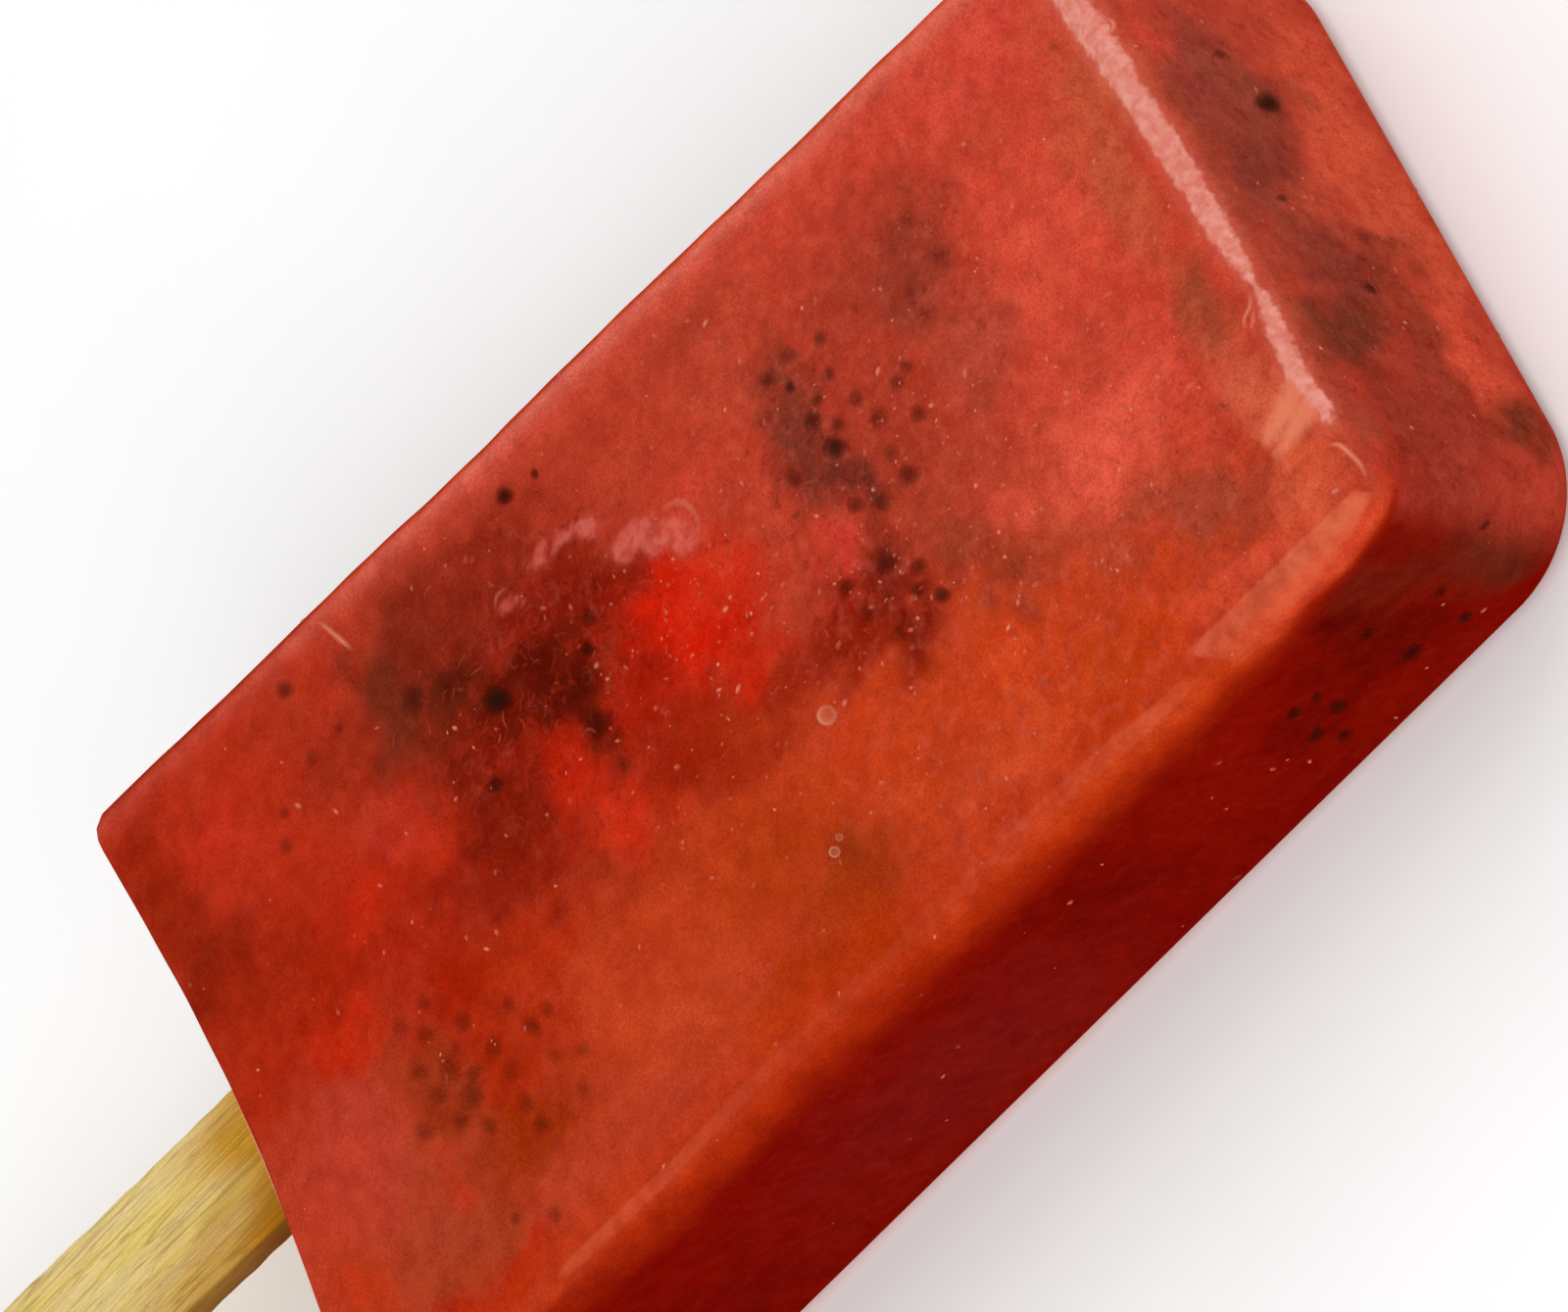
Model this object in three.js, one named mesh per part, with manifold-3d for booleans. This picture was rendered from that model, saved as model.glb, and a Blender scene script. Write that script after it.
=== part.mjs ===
// An ice pop: a tapered block of frozen fruit on a flat wooden stick, lying on its back.
//
// Millimetres. +X runs from the stick to the tip of the ice and +Z points up, away from the
// surface that the pop lies on. The origin is on that surface, halfway along the whole pop and
// in the middle of the block's width. The block leans on nothing: its whole back face is flat.

import * as THREE from "three";
import { mergeVertices } from "three/addons/utils/BufferGeometryUtils.js";
import Module from "manifold-3d";

const wasm = await Module();
wasm.setup();

// The block, as it slides out of its mould: widest and thickest at the stick's end.
const ICE_LENGTH = 97.7;
const BASE_WIDTH = 50.9;
const TIP_WIDTH = 45.7;
const BASE_THICKNESS = 23.7;
const TIP_THICKNESS = 21.4;
const BACK_CORNER_RADIUS = 8.2; // of the tip's corners, in the outline of the back face
const FRONT_CORNER_RADIUS = 3.2; // and in the outline of the front face, where they are sharper
const EDGE_RADIUS = 2; // along every edge of the front and the back
const BASE_HOLLOW = 2; // how far the poured end dips
const HOLLOW_SIDEWAYS = 3.3; // and how far from the middle, towards the stick, it is deepest

// The stick, frozen in a little off centre and not quite straight.
const STICK_LENGTH = 114;
const STICK_WIDTH = 10;
const STICK_THICKNESS = 2.4;
const STICK_EDGE = 0.3; // the worn edges of the wood
const STICK_DEPTH = 51.7; // how much of it is in the ice
const STICK_SIDEWAYS = 4.6; // where it leaves the block, beside the middle
const STICK_HEIGHT = 11.4; // and above the back face
const STICK_YAW = THREE.MathUtils.degToRad(-1.1);
const STICK_PITCH = THREE.MathUtils.degToRad(0.2);
const SLOT_GAP = 0.3; // between the stick and the ice that it is frozen in

const EDGE_STEPS = 6; // facets round an edge
const CORNER_STEPS = 12; // facets round a corner of an outline
const CORNER_SLACK = 0.01; // how far a corner's first point may stray from it by rounding
const CUTTER_REACH = 20; // how far a cutting solid stands past what it cuts

const WHOLE_LENGTH = ICE_LENGTH + STICK_LENGTH - STICK_DEPTH;
const TIP_X = WHOLE_LENGTH / 2;
const BASE_X = TIP_X - ICE_LENGTH;

const iceMaterial = new THREE.MeshStandardMaterial({
  color: 0xc4281b,
  roughness: 0.25,
  metalness: 0,
});
const woodMaterial = new THREE.MeshStandardMaterial({
  color: 0xdcc493,
  roughness: 0.8,
  metalness: 0,
});

// A closed geometry as a solid that can be cut.
function solidOf(geometry) {
  const bare = geometry.clone();
  bare.deleteAttribute("normal");
  bare.deleteAttribute("uv");
  const merged = mergeVertices(bare, 1e-4);
  return new wasm.Manifold(
    new wasm.Mesh({
      numProp: 3,
      vertProperties: merged.getAttribute("position").array,
      triVerts: new Uint32Array(merged.index.array),
    }),
  );
}

// A cut solid as a geometry that three.js can draw.
function geometryOf(solid) {
  const mesh = solid.getMesh();
  const geometry = new THREE.BufferGeometry();
  geometry.setAttribute("position", new THREE.BufferAttribute(mesh.vertProperties, 3));
  geometry.setIndex(new THREE.BufferAttribute(mesh.triVerts, 1));
  const faceted = geometry.toNonIndexed();
  faceted.computeVertexNormals();
  return faceted;
}

// How wide and how thick the block is at a place along it, as a share of its base.
function taper(x, tipSize, baseSize) {
  const fromBase = (x - BASE_X) / ICE_LENGTH;
  return THREE.MathUtils.lerp(1, tipSize / baseSize, fromBase);
}

// The block's back face, with round corners at the tip. It runs on past the base, where the
// hollow end is cut.
function blockOutline() {
  const half = BASE_WIDTH / 2;
  const back = BASE_X - CUTTER_REACH;
  const radius = BACK_CORNER_RADIUS;
  const outline = new THREE.Shape();
  outline.moveTo(back, -half);
  outline.lineTo(TIP_X - radius, -half);
  outline.absarc(TIP_X - radius, -half + radius, radius, -Math.PI / 2, 0, false);
  outline.lineTo(TIP_X, half - radius);
  outline.absarc(TIP_X - radius, half - radius, radius, 0, Math.PI / 2, false);
  outline.lineTo(back, half);
  outline.closePath();
  return outline;
}

// Moves a point of a tip corner out, so that the corner is sharper the higher the point lies.
function sharpenCorner(point) {
  const fromCentreX = point.x - (TIP_X - BACK_CORNER_RADIUS);
  const fromCentreY = Math.abs(point.y) - (BASE_WIDTH / 2 - BACK_CORNER_RADIUS);
  if (Math.min(fromCentreX, fromCentreY) < -CORNER_SLACK) return;
  const wall = BASE_THICKNESS - 2 * EDGE_RADIUS;
  const height = THREE.MathUtils.clamp((point.z - EDGE_RADIUS) / wall, 0, 1);
  const shift = (BACK_CORNER_RADIUS - FRONT_CORNER_RADIUS) * height;
  const reach = Math.hypot(fromCentreX, fromCentreY);
  point.x += shift * (1 - fromCentreX / reach);
  point.y += Math.sign(point.y) * shift * (1 - fromCentreY / reach);
}

// The outline raised to the block's thickness, its edges rounded, then narrowed to the tip.
function taperedBlock() {
  const geometry = new THREE.ExtrudeGeometry(blockOutline(), {
    depth: BASE_THICKNESS - 2 * EDGE_RADIUS,
    bevelThickness: EDGE_RADIUS,
    bevelSize: EDGE_RADIUS,
    bevelOffset: -EDGE_RADIUS,
    bevelSegments: EDGE_STEPS,
    curveSegments: CORNER_STEPS,
  });
  geometry.translate(0, 0, EDGE_RADIUS);
  const points = geometry.getAttribute("position");
  const point = new THREE.Vector3();
  for (let i = 0; i < points.count; i++) {
    point.fromBufferAttribute(points, i);
    sharpenCorner(point);
    point.y *= taper(point.x, TIP_WIDTH, BASE_WIDTH);
    point.z *= taper(point.x, TIP_THICKNESS, BASE_THICKNESS);
    points.setXYZ(i, point.x, point.y, point.z);
  }
  return solidOf(geometry);
}

// What is cut away at the poured end: its face bulges into the block by the depth of the hollow.
function hollowCutter() {
  const half = BASE_WIDTH / 2;
  const radius = (half * half + BASE_HOLLOW * BASE_HOLLOW) / (2 * BASE_HOLLOW);
  const reach = half + HOLLOW_SIDEWAYS + EDGE_RADIUS;
  const opening = Math.asin(reach / radius);
  const outline = new THREE.Shape();
  const centreX = BASE_X + BASE_HOLLOW - radius;
  outline.absarc(centreX, HOLLOW_SIDEWAYS, radius, -opening, opening, false);
  outline.lineTo(BASE_X - 2 * CUTTER_REACH, HOLLOW_SIDEWAYS + reach);
  outline.lineTo(BASE_X - 2 * CUTTER_REACH, HOLLOW_SIDEWAYS - reach);
  outline.closePath();
  const geometry = new THREE.ExtrudeGeometry(outline, {
    depth: BASE_THICKNESS + 2 * CUTTER_REACH,
    bevelEnabled: false,
    curveSegments: CORNER_STEPS,
  });
  geometry.translate(0, 0, -CUTTER_REACH);
  return solidOf(geometry);
}

// A flat stick with round ends, centred on its own middle, or the slot that takes it.
function stickGeometry(gap) {
  const length = STICK_LENGTH + 2 * gap;
  const width = STICK_WIDTH + 2 * gap;
  const thickness = STICK_THICKNESS + 2 * gap;
  const radius = width / 2;
  const reach = length / 2 - radius;
  const outline = new THREE.Shape();
  outline.absarc(reach, 0, radius, -Math.PI / 2, Math.PI / 2, false);
  outline.absarc(-reach, 0, radius, Math.PI / 2, (3 * Math.PI) / 2, false);
  outline.closePath();
  const geometry = new THREE.ExtrudeGeometry(outline, {
    depth: thickness - 2 * STICK_EDGE,
    bevelThickness: STICK_EDGE,
    bevelSize: STICK_EDGE,
    bevelOffset: -STICK_EDGE,
    bevelSegments: 2,
    curveSegments: 2 * CORNER_STEPS,
  });
  geometry.translate(0, 0, STICK_EDGE - thickness / 2);
  return geometry;
}

// Where the stick lies: it turns about the place where it leaves the block.
function placeStick(object) {
  const direction = new THREE.Euler(0, STICK_PITCH, STICK_YAW, "ZYX");
  const middle = new THREE.Vector3(STICK_DEPTH - STICK_LENGTH / 2, 0, 0);
  middle.applyEuler(direction);
  object.rotation.copy(direction);
  object.position.set(BASE_X, STICK_SIDEWAYS, STICK_HEIGHT).add(middle);
  object.updateMatrix();
}

function makeStick() {
  const stick = new THREE.Mesh(stickGeometry(0), woodMaterial);
  stick.name = "stick";
  placeStick(stick);
  return stick;
}

function makeIce() {
  const slot = new THREE.Object3D();
  placeStick(slot);
  const slotSolid = solidOf(stickGeometry(SLOT_GAP).applyMatrix4(slot.matrix));
  const block = taperedBlock().subtract(hollowCutter()).subtract(slotSolid);
  const ice = new THREE.Mesh(geometryOf(block), iceMaterial);
  ice.name = "ice_block";
  return ice;
}

const icePop = new THREE.Group();
icePop.add(makeIce(), makeStick());

export default icePop;
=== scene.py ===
"""The looks of an ice pop: a block of red fruit ice on a wooden stick, lying on a pale floor.

The block is one mesh, painted with clouds of frozen pulp, with a crust of frost along its tip.
Seeds, air specks and hairs of fruit lie in its surface. Lengths are in millimetres until a mesh is
made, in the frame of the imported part: +X runs to the tip of the ice and +Z up out of its front.
"""
import math

import bpy
import numpy as np
from mathutils import Matrix, Vector
from mathutils.bvhtree import BVHTree


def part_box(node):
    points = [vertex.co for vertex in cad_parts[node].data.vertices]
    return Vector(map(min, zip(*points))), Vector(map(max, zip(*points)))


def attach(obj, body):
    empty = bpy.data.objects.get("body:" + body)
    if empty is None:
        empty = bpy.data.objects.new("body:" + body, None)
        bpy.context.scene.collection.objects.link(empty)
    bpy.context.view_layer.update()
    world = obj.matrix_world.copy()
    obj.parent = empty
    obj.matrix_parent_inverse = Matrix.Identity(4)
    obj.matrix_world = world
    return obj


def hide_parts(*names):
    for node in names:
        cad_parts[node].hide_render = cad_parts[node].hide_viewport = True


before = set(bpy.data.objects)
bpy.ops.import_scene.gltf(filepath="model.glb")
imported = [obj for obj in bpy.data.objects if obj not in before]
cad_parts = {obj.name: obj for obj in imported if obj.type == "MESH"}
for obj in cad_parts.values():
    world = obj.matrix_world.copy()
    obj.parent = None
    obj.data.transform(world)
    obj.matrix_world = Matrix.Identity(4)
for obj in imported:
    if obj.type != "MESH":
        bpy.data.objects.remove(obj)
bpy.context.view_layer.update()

MM = 0.001
SLACK = 1e-6
EDGE_RINGS = 7  # rings of vertices round an edge

# ---- Sizes ----

TIP_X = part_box("ice_block")[1].x / MM
ICE_LENGTH = 97.7
BASE_X = TIP_X - ICE_LENGTH
BASE_WIDTH = 50.9
TIP_WIDTH = 45.7
BASE_THICKNESS = 23.7
TIP_THICKNESS = 21.4
BACK_CORNER = 8.2  # radius of the tip's corners in the outline of the back face
FRONT_CORNER = 3.2  # and of the front face
BASE_CORNER = 1.2
EDGE = 2.0  # radius of the long edges and of the tip's
BASE_EDGE = 0.6  # radius of the poured end's edges
BASE_HOLLOW = 2.0
HOLLOW_SIDEWAYS = 3.3
HOLLOW_REACH = 14.0  # how far into the block the hollow end draws the grid along
BLOCK_GRID = 0.42  # spacing of the block's vertices
BLOCK_WAVES = ((0.04, 9.0, 3), (0.02, 3.0, 4))  # in its surface: height, size and seed
FLAT_BACK = (1.0, 4.0)  # above the back face, where these waves start and where they are full

STICK_LENGTH = 114.0
STICK_WIDTH = 10.0
STICK_THICKNESS = 2.4
STICK_EDGE = 0.35
STICK_DEPTH = 51.7
STICK_SIDEWAYS = 4.6
STICK_HEIGHT = 11.4
STICK_YAW = math.radians(-1.1)
STICK_PITCH = math.radians(0.2)
STICK_GRID = 0.45
STICK_GROOVES = ((0.006, 0.35, 61), (0.012, 1.2, 62))  # along the grain: height, size and seed
STICK_ROUGHNESS = 0.035  # of the long edges
COLLAR_HEIGHT = 0.5  # the ice that has crept up round the stick
COLLAR_REACH = 1.6

# ---- Small tools ----


def shade(red, green, blue):
    """A colour as a screen shows it, 0 to 255, in the linear values that Blender mixes."""
    share = np.array([red, green, blue]) / 255
    return np.where(share <= 0.04045, share / 12.92, ((share + 0.055) / 1.055) ** 2.4)


def step(low, high, value):
    """0 below low, 1 above high and smooth between them."""
    share = np.clip((value - low) / (high - low), 0, 1)
    return share * share * (3 - 2 * share)


def waves(points, size, seed, count=32):
    """A smooth random field, mean 0 and about 1 high, that changes over about size millimetres."""
    rng = np.random.default_rng(seed)
    directions = rng.normal(size=(count, 3))
    directions /= np.linalg.norm(directions, axis=1, keepdims=True)
    lengths = size * rng.uniform(1.2, 3.0, count)
    phases = rng.uniform(0, 2 * math.pi, count)
    angles = points @ (directions / lengths[:, None]).T * 2 * math.pi + phases
    return np.cos(angles).sum(1) * math.sqrt(2 / count)


def layered_waves(points, layers):
    """Random fields on top of each other. Each layer has a height, a size and a seed."""
    return sum(height * waves(points, size, seed) for height, size, seed in layers)


def block_width(x):
    """Half the block's width at a place along it."""
    share = (x - BASE_X) / ICE_LENGTH
    return (BASE_WIDTH + (TIP_WIDTH - BASE_WIDTH) * share) / 2


def block_top(x):
    """The height of the block's front face at a place along it."""
    share = (x - BASE_X) / ICE_LENGTH
    return BASE_THICKNESS + (TIP_THICKNESS - BASE_THICKNESS) * share


def add_object(name, data):
    thing = bpy.data.objects.new(name, data)
    bpy.context.scene.collection.objects.link(thing)
    return thing


def make_piece(name, points, faces, material, slot, smooth=True):
    """A mesh that rides with the part. Its points are in millimetres."""
    mesh = bpy.data.meshes.new(name)
    mesh.from_pydata((np.asarray(points) * MM).tolist(), [], faces)
    mesh.polygons.foreach_set("use_smooth", [smooth] * len(mesh.polygons))
    mesh.materials.append(material)
    piece = add_object(name, mesh)
    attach(piece, "root")
    return piece


def store_colour(piece, name, values):
    """Stores a colour for each vertex."""
    layer = piece.data.attributes.new(name, "FLOAT_COLOR", "POINT")
    channels = np.ones((len(values), 4), np.float32)
    channels[:, :3] = values
    layer.data.foreach_set("color", channels.ravel())


def store_number(piece, name, values):
    """Stores a number for each vertex."""
    layer = piece.data.attributes.new(name, "FLOAT", "POINT")
    layer.data.foreach_set("value", np.asarray(values, np.float32))


# ---- Shapes ----


def grid_lines(low, high, low_zone, high_zone, spacing):
    """Places of grid lines from low to high, with one at the inner border of each end zone."""
    stops = [low, low + low_zone, high - high_zone, high]
    lines = [low]
    for start, end in zip(stops, stops[1:]):
        if end - start > SLACK:
            count = max(1, round((end - start) / spacing))
            lines.extend(np.linspace(start, end, count + 1)[1:])
    return np.array(lines)


def round_corner(a, b, zone, radius):
    """Moves points of a square zone so that the zone's outer corner becomes round.

    Returns the moved points and which way an outline through them faces.
    """
    turn = np.arctan2(b, a)
    along, across = np.cos(turn), np.sin(turn)
    straight = zone / np.maximum(along, across)
    centre = zone - radius
    middle = centre * (along + across)
    curved = middle + np.sqrt(np.maximum(middle**2 - 2 * centre**2 + radius**2, 0))
    on_arc = np.minimum(along, across) * straight > centre
    reach = np.maximum(a, b) / zone * np.where(on_arc, curved, straight)
    a, b = reach * along, reach * across
    facing_a = np.where(on_arc, a - centre, along > across)
    facing_b = np.where(on_arc, b - centre, along <= across)
    return a, b, facing_a, facing_b


def slab(span, half_width, heights, edges, corners, spacing):
    """Points and quads of a flat slab with round edges, and round corners seen from above.

    span is where it starts and ends, and heights are those of its two faces. edges are the radii of
    the start's edge and of the others. corners are the radii of the start's corners, and of the
    end's at the lower and at the upper face, all measured within the rounded edge.
    """
    start_edge, edge = edges
    start_corner, low_corner, high_corner = corners
    start, end, half = span[0] + start_edge, span[1] - edge, half_width - edge
    low, high = heights
    end_zone = max(low_corner, high_corner)
    side_zone = max(start_corner, end_zone)
    xs = grid_lines(start, end, start_corner, end_zone, spacing)
    ys = grid_lines(-half, half, side_zone, side_zone, spacing)
    nx, ny = len(xs), len(ys)
    flat_x, flat_y = (grid.ravel() for grid in np.meshgrid(xs, ys, indexing="ij"))

    def placed(chosen, end_corner):
        """Where grid points lie once the corners are round, and which way the rim faces there."""
        grid_x, grid_y = flat_x[chosen], flat_y[chosen]
        spots = np.column_stack([grid_x, grid_y])
        ends = (grid_x > end - SLACK) * 1.0 - (grid_x < start + SLACK)
        sides = np.where(np.abs(grid_y) > half - SLACK, np.sign(grid_y), 0.0)
        facing = np.column_stack([ends, sides])
        for zone, radius, border, ahead in ((end_zone, end_corner, end - end_zone, 1),
                                            (start_corner, start_corner, start + start_corner, -1)):
            past = (grid_x - border) * ahead
            beyond = np.abs(grid_y) - (half - zone)
            here = (past >= 0) & (beyond >= 0)
            a, b, facing_a, facing_b = round_corner(past[here], beyond[here], zone, radius)
            side = np.sign(grid_y[here])
            spots[here] = np.column_stack([border + ahead * a, side * (half - zone + b)])
            facing[here] = np.column_stack([ahead * facing_a, side * facing_b])
        return spots, facing

    at = np.arange(nx * ny).reshape(nx, ny)
    loop = np.concatenate([at[:, 0], at[-1, 1:], at[-2::-1, -1], at[0, -2:0:-1]])

    def rim(end_corner):
        """The rim of a face, how far the edge stands out of it, and how high the edge is."""
        spots, facing = placed(loop, end_corner)
        facing /= np.linalg.norm(facing, axis=1, keepdims=True)
        reach = np.where(facing[:, 0] < 0, start_edge, edge)
        outward = facing * np.column_stack([reach, np.full(len(reach), edge)])
        return spots, outward, reach * facing[:, 0] ** 2 + edge * facing[:, 1] ** 2

    rings = []
    turns = np.linspace(0, math.pi / 2, EDGE_RINGS + 1)[1:]
    spots, outward, rise = rim(high_corner)
    for turn in turns:
        drop = rise * (1 - math.cos(turn))
        rings.append(np.column_stack([spots + outward * math.sin(turn), high - drop]))
    levels = max(2, round((high - low - 2 * edge) / spacing))
    for level in range(1, levels):
        share = level / levels
        spots, outward, rise = rim(high_corner + (low_corner - high_corner) * share)
        rings.append(np.column_stack([spots + outward, high - rise + (low - high + 2 * rise) * share]))
    spots, outward, rise = rim(low_corner)
    for turn in turns[::-1]:
        lift = rise * (1 - math.cos(turn))
        rings.append(np.column_stack([spots + outward * math.sin(turn), low + lift]))

    every = at.ravel()
    top = np.column_stack([placed(every, high_corner)[0], np.full(len(every), high)])
    bottom = np.column_stack([placed(every, low_corner)[0], np.full(len(every), low)])
    points = np.vstack([top, *rings, bottom])

    quads = np.stack([at[:-1, :-1], at[1:, :-1], at[1:, 1:], at[:-1, 1:]], axis=-1).reshape(-1, 4)
    last = len(every) + len(rings) * len(loop)
    circles = [loop]
    circles += [len(every) + ring * len(loop) + np.arange(len(loop)) for ring in range(len(rings))]
    circles += [last + loop]
    faces = [quads, last + quads[:, ::-1]]
    for upper, lower in zip(circles, circles[1:]):
        faces.append(np.column_stack([upper, lower, np.roll(lower, -1), np.roll(upper, -1)]))
    return points, np.vstack(faces).tolist()


def normals_of(points, faces):
    """The outward direction at each vertex of a mesh of quads."""
    quads = np.array(faces)
    across = points[quads[:, 2]] - points[quads[:, 0]]
    along = points[quads[:, 3]] - points[quads[:, 1]]
    facing = np.cross(across, along)
    normals = np.zeros_like(points)
    for corner in range(4):
        np.add.at(normals, quads[:, corner], facing)
    return normals / np.linalg.norm(normals, axis=1, keepdims=True)


def block_shape():
    """The block of ice, with faint waves in its surface and a low collar round the stick."""
    half = BASE_WIDTH / 2
    points, faces = slab(
        (BASE_X, TIP_X), half, (0, BASE_THICKNESS), (BASE_EDGE, EDGE),
        (BASE_CORNER - BASE_EDGE, BACK_CORNER - EDGE, FRONT_CORNER - EDGE), BLOCK_GRID,
    )
    x, y, z = points.T
    hollow = BASE_HOLLOW * (1 - ((y - HOLLOW_SIDEWAYS) / half) ** 2)
    hollow = hollow * (1 - step(0, HOLLOW_REACH, x - BASE_X))
    y = y * block_width(x) * 2 / BASE_WIDTH
    z = z * block_top(x) / BASE_THICKNESS
    points = np.column_stack([x + hollow, y, z])
    normals = normals_of(points, faces)
    sway = layered_waves(points, BLOCK_WAVES) * step(*FLAT_BACK, z)
    points = points + normals * sway[:, None]
    beside = np.maximum(np.abs(y - STICK_SIDEWAYS) - STICK_WIDTH / 2, 0)
    above = np.maximum(np.abs(z - STICK_HEIGHT) - STICK_THICKNESS / 2, 0)
    near_stick = 1 - step(0, COLLAR_REACH, np.hypot(beside, above))
    points[:, 0] -= COLLAR_HEIGHT * near_stick * step(0.6, 0.9, -normals[:, 0])
    return points, faces


# ---- Colours of the frozen fruit, with painted light and shade ----

# As a screen shows them, 0 to 255.
RED = (176, 43, 20)
DEEP = (164, 30, 8)
VIVID = (202, 27, 5)
SMOKE = (118, 27, 11)
SOOT = (78, 12, 3)
BROWN = (140, 50, 34)
ORANGE = (190, 60, 22)
AMBER = (196, 60, 14)
PINK = (220, 84, 62)
ROSE = (200, 66, 46)
RUST = (178, 58, 36)
DUSTY = (180, 60, 32)
PALE = (222, 116, 98)
# WALL and PLUM: the walls' colours, darkened by painted shade.
WALL = (122, 9, 2)
PLUM = (117, 17, 14)
TAN = (144, 62, 46)
HAZE = (214, 96, 72)

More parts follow.
